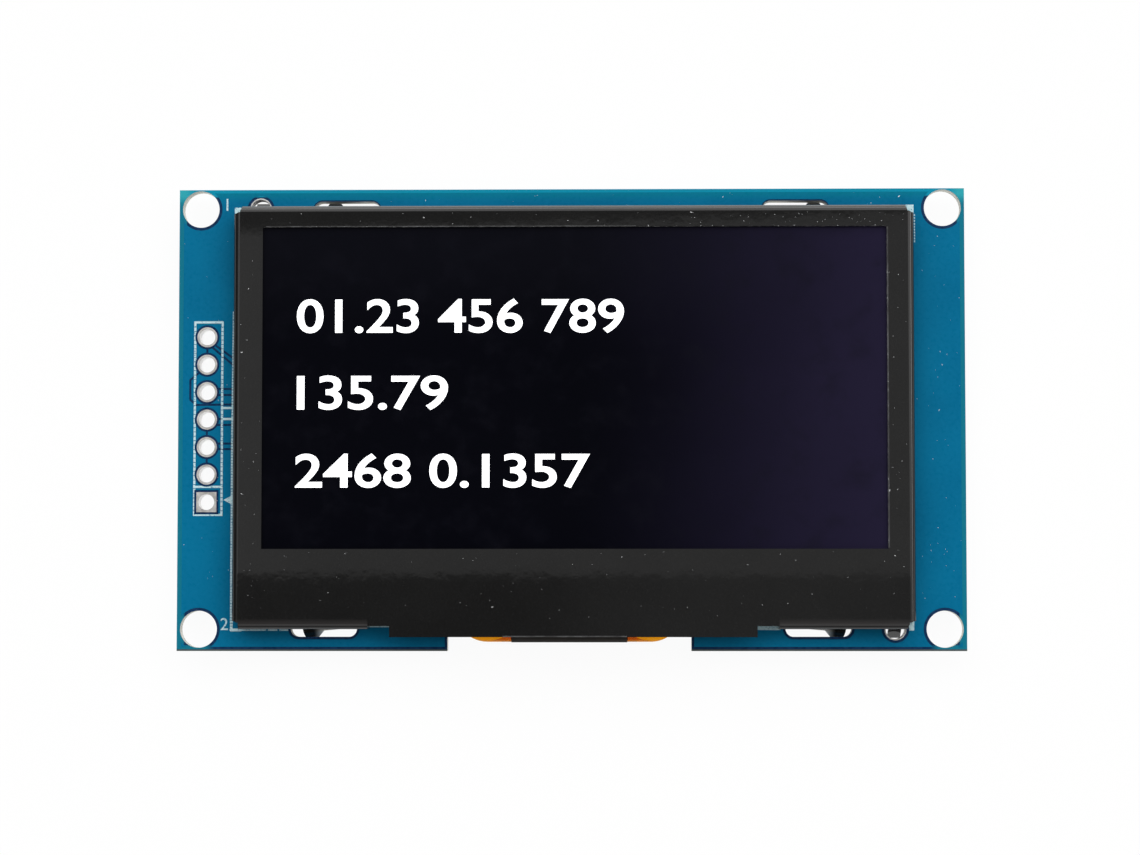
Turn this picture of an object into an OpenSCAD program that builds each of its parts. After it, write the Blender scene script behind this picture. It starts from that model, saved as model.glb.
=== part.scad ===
// Display module: a thin glass panel in a folded sheet-metal bezel, fixed to a circuit board.
// It lies on its back: the screen faces +Z, +Y is the top of the picture, and the twisted tabs touch z = 0.

/* [Panel] */
// Width of the glass panel
panel_w = 60.5; // [50:0.5:90]
// Height of the glass panel
panel_h = 37; // [30:0.5:60]
// Thickness of the front glass, which carries the light-emitting film
front_glass_t = 0.7; // [0.4:0.05:1.1]
// Thickness of the rear glass, which closes the panel
rear_glass_t = 1.05; // [0.7:0.05:1.6]
// Height of the bare ledge of the front glass below the rear glass
ledge_h = 4.6; // [4:0.1:6]
// Thickness of the seal between the two glasses
seal_t = 0.05; // [0.03:0.01:0.1]
// Width of the seal between the two glasses
seal_w = 1.2; // [0.8:0.1:2]
// Depth of the pocket inside the rear glass
pocket_d = 0.4; // [0.3:0.05:0.6]
// Thickness of the drying sheet in the pocket
desiccant_t = 0.25; // [0.1:0.05:0.28]
// Room around the drying sheet in the pocket
desiccant_gap = 2; // [0.5:0.5:6]
// Thickness of the light-emitting film
emitter_t = 0.02; // [0.01:0.005:0.025]
// Border between the edge of the window and the lit area
emitter_margin = 1; // [0.5:0.1:3]
// Thickness of the polarizer on the front glass
polarizer_t = 0.2; // [0.1:0.05:0.4]
// How far the polarizer reaches past the window under the bezel
polarizer_lap = 1.1; // [0.5:0.1:1.6]
// Length of the driver chip bonded on the ledge
driver_l = 11.5; // [6:0.5:18]
// Width of the driver chip
driver_w = 1.1; // [0.7:0.1:1.4]
// Thickness of the driver chip
driver_t = 0.3; // [0.2:0.05:0.5]
// Thickness of the adhesive tape between the panel and the board
tape_t = 0.5; // [0.3:0.05:1]
// Width of each strip of adhesive tape
tape_w = 6; // [3:0.5:12]
// Distance of the tape from the edges of the rear glass
tape_inset = 2; // [1:0.5:4]

/* [Bezel] */
// Thickness of the sheet metal
sheet_t = 0.3; // [0.2:0.05:0.4]
// Inside radius of the bends
bend_r = 0.3; // [0.15:0.05:0.5]
// Room between the panel and the walls of the bezel
panel_gap = 0.6; // [0.3:0.05:1]
// Width of the bezel to the left of the window
border_left = 2.7; // [2.2:0.05:5]
// Width of the bezel to the right of the window
border_right = 2.5; // [2.2:0.05:5]
// Width of the bezel above the window
border_top = 2; // [1.8:0.05:5]
// Width of the bezel below the window
border_bottom = 7.3; // [6.8:0.05:10]
// Radius of the relief cut at each folded corner
corner_relief_r = 0.75; // [0.65:0.05:1]
// Length of each lower wall, from the corner to the notch beside the flap
lower_wall_l = 12.4; // [11:0.1:14]
// Width of the notches beside the flat lower flap
flap_notch_w = 2; // [1:0.1:3]
// Depth of those notches, from the outside of the wall
flap_notch_d = 0.28; // [0.1:0.02:0.5]
// How far the flat lower flap stands out past the wall
flap_reach = 0.72; // [0.4:0.02:1.2]
// Sideways play that the bezel has taken up in its slots
seat_x = 0.25; // [0:0.05:0.3]
// How far the bezel sits above the middle of the board
seat_y = 0.1; // [-0.2:0.05:0.2]

/* [Bezel tabs and legs] */
// Width of the twisted tabs
tab_w = 3.5; // [3:0.1:4]
// How far the twisted tabs stand out behind the board
tab_reach = 1.5; // [1.4:0.05:2.5]
// Length of the flat tip of each tab, after the twist
tab_tip = 0.4; // [0.2:0.05:0.6]
// Twist of the tabs, in degrees
tab_twist = 55; // [45:10:75]
// Distance of the upper tabs from the ends of the bezel
upper_tab_inset = 9.85; // [6:0.05:14]
// Distance of the lower tabs from the ends of the bezel
lower_tab_inset = 7.85; // [6:0.05:9]
// Width of the splayed legs
leg_w = 1.2; // [0.8:0.1:1.3]
// How far the legs stand out behind the board
leg_reach = 0.7; // [0.3:0.1:1.2]
// Outward splay of the legs, in degrees
leg_splay = 28; // [10:1:30]
// Distance of the upper left leg from the end of the bezel
upper_leg_inset = 2.2; // [1.4:0.05:5]
// Distance of the lower right leg from the end of the bezel
lower_leg_inset = 1.7; // [1.4:0.05:3.5]

/* [Board] */
// Thickness of the circuit board
board_t = 1.6; // [1:0.1:2]
// Width of the board past the bezel at each side
board_margin_side = 5.1; // [4.8:0.1:10]
// Height of the board past the bezel above and below
board_margin_end = 1.9; // [1.6:0.1:6]
// Diameter of the mounting holes
mount_hole_d = 3.4; // [2:0.1:3.6]
// Board left between a mounting hole and the side edge
mount_web_side = 0.3; // [0.2:0.05:0.6]
// Board left between a mounting hole and the upper edge
mount_web_top = 0.1; // [0.1:0.05:2]
// Board left between a mounting hole and the lower edge
mount_web_bottom = 0.3; // [0.1:0.05:2]
// Length of the slots for the twisted tabs
slot_l = 6.1; // [5.8:0.1:7]
// Width of the slots for the twisted tabs
slot_w = 1.5; // [1:0.1:1.6]
// How far the slots sit outside the middle of the bezel wall
slot_offset = 0.1; // [0:0.05:0.2]
// How far the tabs sit from the middle of their slots, toward the ends of the bezel
tab_offset = 0.6; // [0:0.05:0.7]
// Diameter of the plated holes for the legs
leg_hole_d = 1.8; // [1.7:0.05:2.2]
// Width of the metal ring round each leg hole on the front of the board
leg_hole_ring = 0.12; // [0.06:0.02:0.2]
// How far the leg holes sit outside the middle of the bezel wall
leg_hole_offset = 0.15; // [0.05:0.05:0.3]
// Room between the flex cable and the sides of the board's notch
notch_gap = 1.45; // [0.8:0.05:3]
// Room between the fold of the flex cable and the inner edge of the notch
notch_setback = 0.2; // [0.1:0.05:0.6]

/* [Header holes] */
// Number of header holes
header_count = 7; // [2:1:10]
// Distance from one header hole to the next
header_pitch = 2.54; // [2.2:0.01:2.8]
// Finished diameter of the header holes
header_hole_d = 1.45; // [0.8:0.05:1.5]
// Width of the metal ring round each header hole
header_ring = 0.2; // [0.15:0.025:0.3]
// Distance from the board's side edge to the header pads
header_edge = 1.73; // [1:0.01:2]
// Distance from the header holes to the chip resistors beside them
header_to_resistors = 8.6; // [5:0.1:10]
// Thickness of the plating in the holes and of the pads
plating_t = 0.05; // [0.03:0.01:0.08]

/* [Flex cable] */
// Thickness of the flex cable
flex_t = 0.12; // [0.08:0.01:0.2]
// How far the flex cable sits to the left of the bezel's middle
flex_shift = 0.4; // [0:0.05:0.6]
// Width of the flex cable at the panel
flex_wide_w = 19.5; // [16:0.1:24]
// Width of the flex cable at its soldered end
flex_tail_w = 12.4; // [12.2:0.1:14]
// Height over which the fold narrows from the wide to the narrow width
flex_shoulder = 2.5; // [1.6:0.1:2.7]
// Length of the flex cable bonded to the ledge
flex_bond = 1.6; // [1:0.1:1.8]
// Straight stretch of flex cable between the panel's edge and the fold
flex_lead = 0.4; // [0.3:0.05:1]
// Length of the flat tail behind the board
flex_tail_l = 9.2; // [7:0.1:14]
// Width of the dark cover film on the fold
cover_w = 10.6; // [6:0.1:12]
// Thickness of the dark cover film
cover_t = 0.05; // [0.03:0.01:0.08]
// Length of the dark cover film on the tail
cover_tail_l = 2.5; // [1:0.1:4]
// Number of soldered leads
lead_count = 24; // [8:1:24]
// Distance from one soldered lead to the next
lead_pitch = 0.5; // [0.4:0.01:0.52]
// Width of each solder bead on the leads
bead_w = 0.28; // [0.2:0.02:0.36]
// Length of each solder bead on the leads
bead_l = 1.2; // [0.8:0.1:2]

/* [Parts behind the board] */
// Length of the large chip capacitors
large_chip_l = 3.2; // [2.8:0.1:3.4]
// Width of the large chip capacitors
large_chip_w = 1.6; // [1.2:0.1:1.8]
// Height of the large chip capacitors
large_chip_t = 1.1; // [0.6:0.05:1.3]
// Length of the medium chip capacitors
medium_chip_l = 2; // [1.8:0.1:2.2]
// Width of the medium chip capacitors
medium_chip_w = 1.25; // [1:0.05:1.4]
// Height of the medium chip capacitors
medium_chip_t = 0.85; // [0.5:0.05:1.2]
// Length of the small chip capacitors and resistors
small_chip_l = 1.6; // [1.4:0.05:1.8]
// Width of the small chip capacitors and resistors
small_chip_w = 0.8; // [0.6:0.05:0.9]
// Height of the small chip capacitors
small_chip_t = 0.8; // [0.5:0.05:0.9]
// Height of the chip resistors
resistor_t = 0.45; // [0.3:0.05:0.6]
// Share of a chip's length under each metal end
chip_end = 0.22; // [0.15:0.01:0.3]
// How far the metal ends of a chip stand proud of its body
chip_end_step = 0.03; // [0.02:0.01:0.05]
// Length of a solder fillet in front of a chip
fillet_l = 0.45; // [0.3:0.05:0.6]
// Share of a chip's height that its solder fillets climb
fillet_climb = 0.75; // [0.4:0.05:0.9]
// Length of a solder fillet in front of a package lead
toe_l = 0.2; // [0.1:0.02:0.3]
// Thickness of the tinned lands that the parts are soldered on
land_t = 0.04; // [0.02:0.01:0.08]
// How far a land reaches past the metal and the solder on it
land_lap = 0.1; // [0.05:0.01:0.14]
// Length of the moulded three-lead and five-lead packages
package_l = 2.9; // [2.6:0.1:3.1]
// Width of the moulded three-lead and five-lead packages
package_w = 1.6; // [1.3:0.1:1.8]
// Height of the moulded packages above the board
package_t = 1.1; // [0.9:0.05:1.3]
// Distance between the leads along a package
package_pitch = 0.95; // [0.9:0.01:1]
// Overall width of a package across its leads
package_span = 2.8; // [2.6:0.1:3]
// Width of a package lead
package_lead_w = 0.4; // [0.3:0.05:0.5]
// Thickness of a package lead
package_lead_t = 0.15; // [0.1:0.01:0.2]
// Gap between a moulded package and its lands
package_standoff = 0.08; // [0.05:0.01:0.15]
// Draft of a moulded package's sides, in degrees
package_draft = 8; // [4:1:12]
// Diameter of the round mark beside a package's first lead
package_mark_d = 0.4; // [0.3:0.05:0.5]
// Depth of that mark
package_mark_depth = 0.06; // [0.04:0.01:0.1]
// Length of the rectifier diode's body
diode_l = 2.7; // [2.4:0.1:2.9]
// Overall length of the rectifier diode across its leads
diode_span = 3.7; // [3.5:0.1:3.9]
// Width of the rectifier diode's leads
diode_lead_w = 0.6; // [0.4:0.05:0.9]
// Side of the square inductor core
inductor_w = 3; // [2.5:0.1:3.4]
// Height of the inductor
inductor_t = 1.2; // [0.9:0.05:1.3]
// Thickness of the inductor's flanges
inductor_flange_t = 0.3; // [0.2:0.05:0.35]
// Width of the inductor's flanges across their cut corners
inductor_corner_w = 3.66; // [3.5:0.02:3.9]
// Length of the inductor's solder joints along its sides
inductor_joint_l = 1.8; // [1:0.1:2]
// Diameter of the inductor's middle post
inductor_post_d = 1.3; // [0.9:0.1:1.6]
// Room between the inductor's post and its winding
winding_gap = 0.05; // [0.02:0.01:0.1]
// How far the winding stays inside the inductor's flanges
winding_inset = 0.15; // [0.05:0.05:0.3]

/* [Hidden] */
$fn = 48;

// Extra length of every cutter past the faces that it cuts
past = 1;

// Heights of the layers, from the tips of the tabs to the front of the bezel
back_z = tab_reach;
front_z = back_z + board_t;
rear_glass_z = front_z + tape_t;
seal_z = rear_glass_z + rear_glass_t;
front_glass_z = seal_z + seal_t;
polarizer_z = front_glass_z + front_glass_t;
sheet_z = polarizer_z + polarizer_t;
wall_h = sheet_z + sheet_t - front_z;

// Outside sizes of the bezel and the board
bezel_w = panel_w + 2 * (panel_gap + sheet_t);
bezel_h = panel_h + 2 * (panel_gap + sheet_t);
board_w = bezel_w + 2 * board_margin_side;
board_h = bezel_h + 2 * board_margin_end;
outer_r = bend_r + sheet_t;

// Window of the bezel, in the bezel's frame
window_w = bezel_w - border_left - border_right;
window_h = bezel_h - border_top - border_bottom;
window_x = (border_left - border_right) / 2;
window_y = (border_bottom - border_top) / 2;
flap_w = bezel_w - 2 * (lower_wall_l + flap_notch_w);
flap_root = outer_r + sheet_t;

// Middle of the bezel's upper and lower walls, and the places of its tabs and legs along them
wall_y = (bezel_h - sheet_t) / 2;
upper_tab_x = bezel_w / 2 - upper_tab_inset;
lower_tab_x = bezel_w / 2 - lower_tab_inset;
upper_leg_x = upper_leg_inset - bezel_w / 2;
lower_leg_x = bezel_w / 2 - lower_leg_inset;

// Places of the mounting holes and the header
mount_x = board_w / 2 - mount_web_side - mount_hole_d / 2;
mount_top_y = board_h / 2 - mount_web_top - mount_hole_d / 2;
mount_bottom_y = mount_web_bottom + mount_hole_d / 2 - board_h / 2;
header_pad_d = header_hole_d + 2 * header_ring;
leg_ring_d = leg_hole_d + 2 * leg_hole_ring;
header_x = header_edge + header_pad_d / 2 - board_w / 2;
resistor_x = header_x + header_to_resistors;

// Fold of the flex cable: its outer face joins the rear of the front glass to the back of the board
fold_r = (front_glass_z - back_z + flex_t) / 2;
fold_z = front_glass_z - fold_r;
panel_bottom_y = seat_y - panel_h / 2;
fold_y = panel_bottom_y - flex_lead;
tail_y = fold_y + flex_tail_l;
notch_y = fold_y + notch_setback;
notch_w = flex_wide_w + 2 * notch_gap;
flex_x = seat_x - flex_shift;

// Hollow face of a chip's solder fillets: its number of steps, and how far it sags toward the corner
fillet_steps = 5;
fillet_sag = 0.9;

// Sizes of the chips as length, width and height
large_chip = [large_chip_l, large_chip_w, large_chip_t];
medium_chip = [medium_chip_l, medium_chip_w, medium_chip_t];
small_chip = [small_chip_l, small_chip_w, small_chip_t];
resistor_chip = [small_chip_l, small_chip_w, resistor_t];

// Places of a package's leads along its two long sides, in steps of their pitch
BOOST_LEADS = [[-1, 1], [-1, 0, 1]];
REGULATOR_LEADS = [[0], [-1, 1]];

// Place of each part behind the board, from the end of the flex cable's tail
boost_at = [12, 3.6];
inductor_at = [17.4, 3.6];
diode_at = [17.4, -0.6];
regulator_at = [-16.6, 3];

// Each chip: place, turn in degrees and size
boost_input = [[12, 7.4], 0, medium_chip];
boost_output = [[12, -0.6], 0, large_chip];
panel_supply = [[9.6, -4.8], 90, large_chip];
common_voltage = [[-9.6, -4.8], 90, large_chip];
regulator_input = [[-20.4, 3], 90, medium_chip];
regulator_output = [[-12.8, 3], 90, medium_chip];
logic_supply = [[-8.6, 0], 90, small_chip];
reset_filter = [[-16.6, 7.2], 0, small_chip];
feedback_upper = [[8.2, 2.2], 90, resistor_chip];
feedback_lower = [[8.2, 5.4], 90, resistor_chip];
current_reference = [[-10.6, 0], 90, resistor_chip];
reset_pull = [[-20.4, 7.2], 0, resistor_chip];
interface_1 = [[resistor_x, 8.4], 0, resistor_chip];
interface_2 = [[resistor_x, 10.6], 0, resistor_chip];
interface_spare = [[resistor_x, 12.8], 0, resistor_chip];
CHIPS = [
    boost_input, boost_output, panel_supply, common_voltage, regulator_input, regulator_output,
    logic_supply, reset_filter, feedback_upper, feedback_lower, current_reference, reset_pull,
    interface_1, interface_2
];
LANDS = concat(CHIPS, [interface_spare]);

// Block centred in x and y that stands on z = 0
module block(size) translate([-size.x / 2, -size.y / 2, 0]) cube(size);

// Puts a part in the bezel's frame, on the front of the board
module seated(z = 0) translate([seat_x, seat_y, z]) children();

// Puts a part face down on its lands behind the board, so that its own +Z points away from the board
module on_back(at, turn = 0, lift = land_t)
    translate([at.x, tail_y + at.y, back_z - lift]) rotate([180, 0, turn]) children();

// Runs children along Y from a profile drawn in X and Z
module along_y(length) rotate([90, 0, 0]) linear_extrude(length, center = true) children();

// Runs children along X from a profile drawn in Y and Z
module along_x(length) rotate([90, 0, 90]) linear_extrude(length, center = true) children();

// Section of a folded sheet: a rectangle with round upper corners
module folded_section(w, h, r) {
    translate([-w / 2, 0]) square([w, h - r]);
    translate([r - w / 2, 0]) square([w - 2 * r, h]);
    for (side = [-1, 1]) translate([side * (w / 2 - r), h - r]) circle(r);
}

// Section of a sheet bent down at both ends
module channel_section(w) difference() {
    folded_section(w, wall_h, outer_r);
    translate([0, -past]) folded_section(w - 2 * sheet_t, wall_h - sheet_t + past, bend_r);
}

// Round-ended slot through the board
module slot_cut(l, w, depth) {
    block([l - w, w, depth]);
    for (side = [-1, 1]) translate([side * (l - w) / 2, 0, 0]) cylinder(d = w, h = depth);
}

// Plated hole: a barrel through the board that leaves a bore of diameter d
module barrel(d) difference() {
    cylinder(d = d + 2 * plating_t, h = board_t);
    translate([0, 0, -past]) cylinder(d = d, h = board_t + 2 * past);
}

// Flat metal ring, or square pad, round a hole of diameter d
module pad(d, size, is_square = false) difference() {
    if (is_square) block([size, size, plating_t]);
    else cylinder(d = size, h = plating_t);
    translate([0, 0, -past]) cylinder(d = d, h = plating_t + 2 * past);
}

// Places children at each header hole, and tells them its number from the top
module at_header() for (i = [0 : header_count - 1]) {
    $pin = i;
    translate([header_x, ((header_count - 1) / 2 - i) * header_pitch, 0]) children();
}

// Places children at each leg of the bezel, turned so that +Y points outward
module at_legs() seated() {
    translate([upper_leg_x, wall_y, 0]) children();
    translate([lower_leg_x, -wall_y, 0]) rotate(180) children();
}

// Places children at the middle of each leg hole
module at_leg_holes() at_legs() translate([0, leg_hole_offset, 0]) children();

// Places children at each twisted tab, mirrored so that +Y points outward and +X points to the near end
module at_tabs() for (side = [-1, 1]) {
    translate([side * upper_tab_x, wall_y, 0]) scale_side(side, 1) children();
    translate([side * lower_tab_x, -wall_y, 0]) scale_side(side, -1) children();
}

module scale_side(x_side, y_side)
    mirror([x_side < 0 ? 1 : 0, 0, 0]) mirror([0, y_side < 0 ? 1 : 0, 0]) children();

// Bare board with its notch, slots and holes
module circuit_board() color("#0d6494") difference() {
    translate([0, 0, back_z]) block([board_w, board_h, board_t]);
    translate([0, 0, back_z - past]) {
        depth = board_t + 2 * past;
        translate([flex_x - notch_w / 2, -board_h / 2 - past, 0])
            cube([notch_w, notch_y + board_h / 2 + past, depth]);
        for (x = [-mount_x, mount_x], y = [mount_bottom_y, mount_top_y])
            translate([x, y, 0]) cylinder(d = mount_hole_d, h = depth);
        translate([0, seat_y, 0]) at_tabs() translate([-tab_offset, slot_offset, 0])
            slot_cut(slot_l, slot_w, depth);
        at_leg_holes() cylinder(d = leg_hole_d + 2 * plating_t, h = depth);
        at_header() cylinder(d = header_hole_d + 2 * plating_t, h = depth);
    }
    translate([0, 0, front_z - plating_t]) at_leg_holes() cylinder(d = leg_ring_d, h = past);
}

// Plated header holes; the last pad is square and marks the first pin
module header_plating() color("#cfc8b8") at_header() {
    square_pad = $pin == header_count - 1;
    translate([0, 0, back_z]) barrel(header_hole_d);
    translate([0, 0, front_z]) pad(header_hole_d, header_pad_d, square_pad);
    translate([0, 0, back_z - plating_t]) pad(header_hole_d, header_pad_d, square_pad);
}

// Plated holes for the legs of the bezel; their front rings lie flush in the board, under the bezel's walls
module leg_hole_plating() color("#cfc8b8") at_leg_holes() {
    translate([0, 0, back_z]) barrel(leg_hole_d);
    translate([0, 0, front_z - plating_t]) pad(leg_hole_d, leg_ring_d);
    translate([0, 0, back_z - plating_t]) pad(leg_hole_d, leg_hole_d + 2 * header_ring);
}

// Bezel folded from one sheet: face with window, four walls, flat lower flap, twisted tabs, legs
module bezel() color("#1b1a1a") {
    seated(front_z) {
        difference() {
            union() {
                along_y(bezel_h - 2 * outer_r) channel_section(bezel_w);
                along_x(bezel_w - 2 * outer_r) channel_section(bezel_h);
            }
            translate([window_x, window_y, 0]) block([window_w, window_h, wall_h + past]);
            bezel_corner_cuts();
            bezel_flap_cut();
        }
        bezel_flap();
    }
    seated() at_tabs() bezel_tab();
    at_legs() bezel_leg();
}

// Relief cuts that leave the folded corners open
module bezel_corner_cuts()
    for (x = [-1, 1], y = [-1, 1])
        translate([x * bezel_w / 2, y * bezel_h / 2, -past])
            cylinder(r = corner_relief_r, h = wall_h + 2 * past);

// Gap in the lower wall for the flap and its notches
module bezel_flap_cut()
    translate([-flap_w / 2 - flap_notch_w, -bezel_h / 2 - past, -past])
        cube([flap_w + 2 * flap_notch_w, flap_root + past, wall_h + 2 * past]);

// Flat lower flap, and the edge of the face at the notches beside it
module bezel_flap() translate([0, -bezel_h / 2, wall_h - sheet_t]) {
    translate([-flap_w / 2, -flap_reach, 0]) cube([flap_w, flap_reach + flap_root, sheet_t]);
    translate([-flap_w / 2 - flap_notch_w, flap_notch_d, 0])
        cube([flap_w + 2 * flap_notch_w, flap_root - flap_notch_d, sheet_t]);
}

// Tab: straight through the board, then twisted, with a short flat tip
module bezel_tab() {
    translate([0, 0, back_z]) block([tab_w, sheet_t, board_t]);
    rotate(tab_twist) {
        translate([0, 0, tab_tip])
            linear_extrude(tab_reach - tab_tip, twist = tab_twist, slices = 6, segments = 4)
                square([tab_w, sheet_t], center = true);
        block([tab_w, sheet_t, tab_tip]);
    }
}

// Leg: straight for half of the board's thickness, then splayed outward
module bezel_leg() {
    knee_z = back_z + board_t / 2;
    tip_z = back_z - leg_reach;
    splay = (knee_z - tip_z) * tan(leg_splay);
    half = sheet_t / 2;
    along_x(leg_w) polygon([
        [-half, front_z], [-half, knee_z], [splay - half, tip_z],
        [splay + half, tip_z], [half, knee_z], [half, front_z]
    ]);
}

// Polarizer on the front glass, under the edge of the window
module polarizer() color("#08080c") seated(polarizer_z) translate([window_x, window_y, 0])
    block([window_w + 2 * polarizer_lap, window_h + 2 * polarizer_lap, polarizer_t]);

// Front glass with its bare lower ledge
module front_glass() color("#20242a") seated(front_glass_z) block([panel_w, panel_h, front_glass_t]);

// Light-emitting film behind the front glass
module emitter_film() color("#3a3550") seated(front_glass_z - emitter_t) translate([window_x, window_y, 0])
    block([window_w - 2 * emitter_margin, window_h - 2 * emitter_margin, emitter_t]);

// Outline of the rear glass, drawn in by a margin
module rear_glass_block(margin, t) translate([0, ledge_h / 2, 0])
    block([panel_w - 2 * margin, panel_h - ledge_h - 2 * margin, t]);

// Frame of sealant between the two glasses
module edge_seal() color("#6d6a5a") seated(seal_z) difference() {
    rear_glass_block(0, seal_t);
    translate([0, 0, -past]) rear_glass_block(seal_w, seal_t + 2 * past);
}

// Drying sheet on the floor of the rear glass's pocket
module desiccant_sheet() color("#e4e0d6") seated(seal_z - pocket_d)
    rear_glass_block(seal_w + desiccant_gap, desiccant_t);

// Rear glass with a shallow pocket that faces the film
module rear_glass() color("#3a4044") seated(rear_glass_z) difference() {
    rear_glass_block(0, rear_glass_t);
    translate([0, 0, rear_glass_t - pocket_d]) rear_glass_block(seal_w, pocket_d + past);
}

// Driver chip on the rear of the ledge, midway between the rear glass and the flex cable
module driver_chip() color("#4c4f55") seated(front_glass_z - driver_t)
    translate([0, (flex_bond + ledge_h - panel_h) / 2, 0]) block([driver_l, driver_w, driver_t]);

// Strip of adhesive tape between the rear glass and the board
module tape(side) seated(front_z)
    translate([side * (panel_w / 2 - tape_inset - tape_w / 2), ledge_h / 2, 0])
        block([tape_w, panel_h - ledge_h - 2 * tape_inset, tape_t]);

module left_tape() color("#e9e6dd") tape(-1);

module right_tape() color("#e9e6dd") tape(1);

// Section of a strip folded through half a turn round the flex cable's fold, and straight at both ends
module fold_section(r, t, front_l, back_l) {
    translate([fold_y, fold_z]) {
        difference() {
            circle(r);
            circle(r - t);
            translate([0, -2 * r]) square([2 * r, 4 * r]);
        }
        translate([0, r - t]) square([front_l, t]);
        translate([0, -r]) square([back_l, t]);
    }
}

// Flex cable: bonded to the ledge, folded through the notch, narrowing to the tail behind the board
module flex_cable() color("#c9761a") translate([flex_x, 0, 0]) intersection() {
    along_x(flex_wide_w) fold_section(fold_r, flex_t, flex_lead + flex_bond, flex_tail_l);
    along_y(2 * board_h) polygon([
        [-flex_wide_w / 2, front_glass_z + past], [-flex_wide_w / 2, front_glass_z],
        [-flex_tail_w / 2, front_glass_z - flex_shoulder], [-flex_tail_w / 2, back_z - past],
        [flex_tail_w / 2, back_z - past], [flex_tail_w / 2, front_glass_z - flex_shoulder],
        [flex_wide_w / 2, front_glass_z], [flex_wide_w / 2, front_glass_z + past]
    ]);
}

// Dark film over the outside of the flex cable's fold
module flex_cover() color("#242323") translate([flex_x, 0, 0]) along_x(cover_w)
    fold_section(fold_r + cover_t, cover_t, flex_lead / 2, cover_tail_l);

// Row of solder beads on the leads at the end of the flex cable
module flex_solder_joints() color("#b9bbbd")
    translate([flex_x, tail_y - bead_l / 2, back_z - flex_t])
        for (i = [0 : lead_count - 1])
            translate([(i - (lead_count - 1) / 2) * lead_pitch, 0, 0]) intersection() {
                along_y(bead_l) circle(d = bead_w, $fn = 24);
                translate([0, 0, -bead_w]) block([bead_w, bead_l, bead_w]);
            }

// Moulded body with drafted sides and a straight band where the leads come out
module moulded_body(l, w) {
    band = package_lead_t;
    low = package_standoff;
    mid = (package_standoff + package_t - band) / 2;
    draft = (mid - low) * tan(package_draft);
    intersection() {
        along_y(2 * l) moulded_section(l, low, mid, band, draft);
        along_x(2 * l) moulded_section(w, low, mid, band, draft);
    }
}

module moulded_section(w, low, mid, band, draft) polygon([
    [draft - w / 2, low], [-w / 2, mid], [-w / 2, mid + band], [draft - w / 2, package_t],
    [w / 2 - draft, package_t], [w / 2, mid + band], [w / 2, mid], [w / 2 - draft, low]
]);

// Moulded body with a round mark beside its first lead
module marked_body() difference() {
    moulded_body(package_l, package_w);
    translate([package_mark_d - package_l / 2, package_mark_d - package_w / 2, package_t])
        translate([0, 0, -package_mark_depth]) cylinder(d = package_mark_d, h = past, $fn = 24);
}

// Where the foot of a lead begins, for a body of width w and a span over the feet
function foot_x(w, span) = (w + span) / 4;

// Bent lead from a body's side at distance w / 2 to a foot that ends at distance span / 2, along +X
module bent_lead(w, span, lead_w) {
    t = package_lead_t;
    mid = (package_standoff + package_t - t) / 2;
    foot = foot_x(w, span);
    knee = foot - t / 2;
    along_y(lead_w) polygon([
        [w / 2, mid], [knee - t / 2, mid], [foot - t, 0], [span / 2, 0], [span / 2, t],
        [foot, t], [knee + t / 2, mid + t], [w / 2, mid + t]
    ]);
}

// Solder in front of the foot of a lead
module lead_toe(span, lead_w) along_y(lead_w) polygon([
    [span / 2, 0], [span / 2 + toe_l, 0], [span / 2 + toe_l / 3, package_lead_t / 3],
    [span / 2, package_lead_t]
]);

// Land under the foot of a lead
module lead_land(w, span, lead_w) {
    inner = foot_x(w, span) - package_lead_t - land_lap;
    outer = span / 2 + toe_l + land_lap;
    translate([(inner + outer) / 2, 0, 0]) block([outer - inner, lead_w + 2 * land_lap, land_t]);
}

// Places children at each lead of a package, turned so that +X points outward
module at_leads(leads) for (side = [0, 1], i = leads[side])
    translate([i * package_pitch, 0, 0]) rotate(90 - 180 * side) children();

// Places children at both leads of the rectifier diode
module at_diode_leads() for (turn = [0, 180]) rotate(turn) children();

module boost_converter() color("#1f1f20") on_back(boost_at) marked_body();

module boost_converter_leads() color("#b9bbbd") on_back(boost_at) at_leads(BOOST_LEADS)
    bent_lead(package_w, package_span, package_lead_w);

module voltage_regulator() color("#1f1f20") on_back(regulator_at) marked_body();

module voltage_regulator_leads() color("#b9bbbd") on_back(regulator_at) at_leads(REGULATOR_LEADS)
    bent_lead(package_w, package_span, package_lead_w);

module rectifier_diode() color("#1f1f20") on_back(diode_at) moulded_body(diode_l, package_w);

module rectifier_diode_leads() color("#b9bbbd") on_back(diode_at) at_diode_leads()
    bent_lead(diode_l, diode_span, diode_lead_w);

// Spool of the inductor: two square flanges on a round post
module inductor_core() color("#3c3d40") on_back(inductor_at) {
    for (z = [0, inductor_t - inductor_flange_t])
        translate([0, 0, z]) inductor_flange();
    translate([0, 0, inductor_flange_t])
        cylinder(d = inductor_post_d, h = inductor_t - 2 * inductor_flange_t);
}

// Square flange with cut corners
module inductor_flange() intersection() {
    block([inductor_w, inductor_w, inductor_flange_t]);
    rotate(45) block([inductor_corner_w, inductor_corner_w, inductor_flange_t]);
}

// Solder along two sides of the inductor's lower flange
module inductor_joints() for (turn = [0, 180]) rotate(turn) along_y(inductor_joint_l) polygon([
    [inductor_w / 2, 0], [inductor_w / 2 + fillet_l, 0],
    [inductor_w / 2 + fillet_l / 3, inductor_flange_t / 3], [inductor_w / 2, inductor_flange_t]
]);

// Lands under two sides of the inductor
module inductor_lands() for (turn = [0, 180]) rotate(turn)
    translate([inductor_w / 2, 0, 0])
        block([2 * (fillet_l + land_lap), inductor_joint_l + 2 * land_lap, land_t]);

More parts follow.
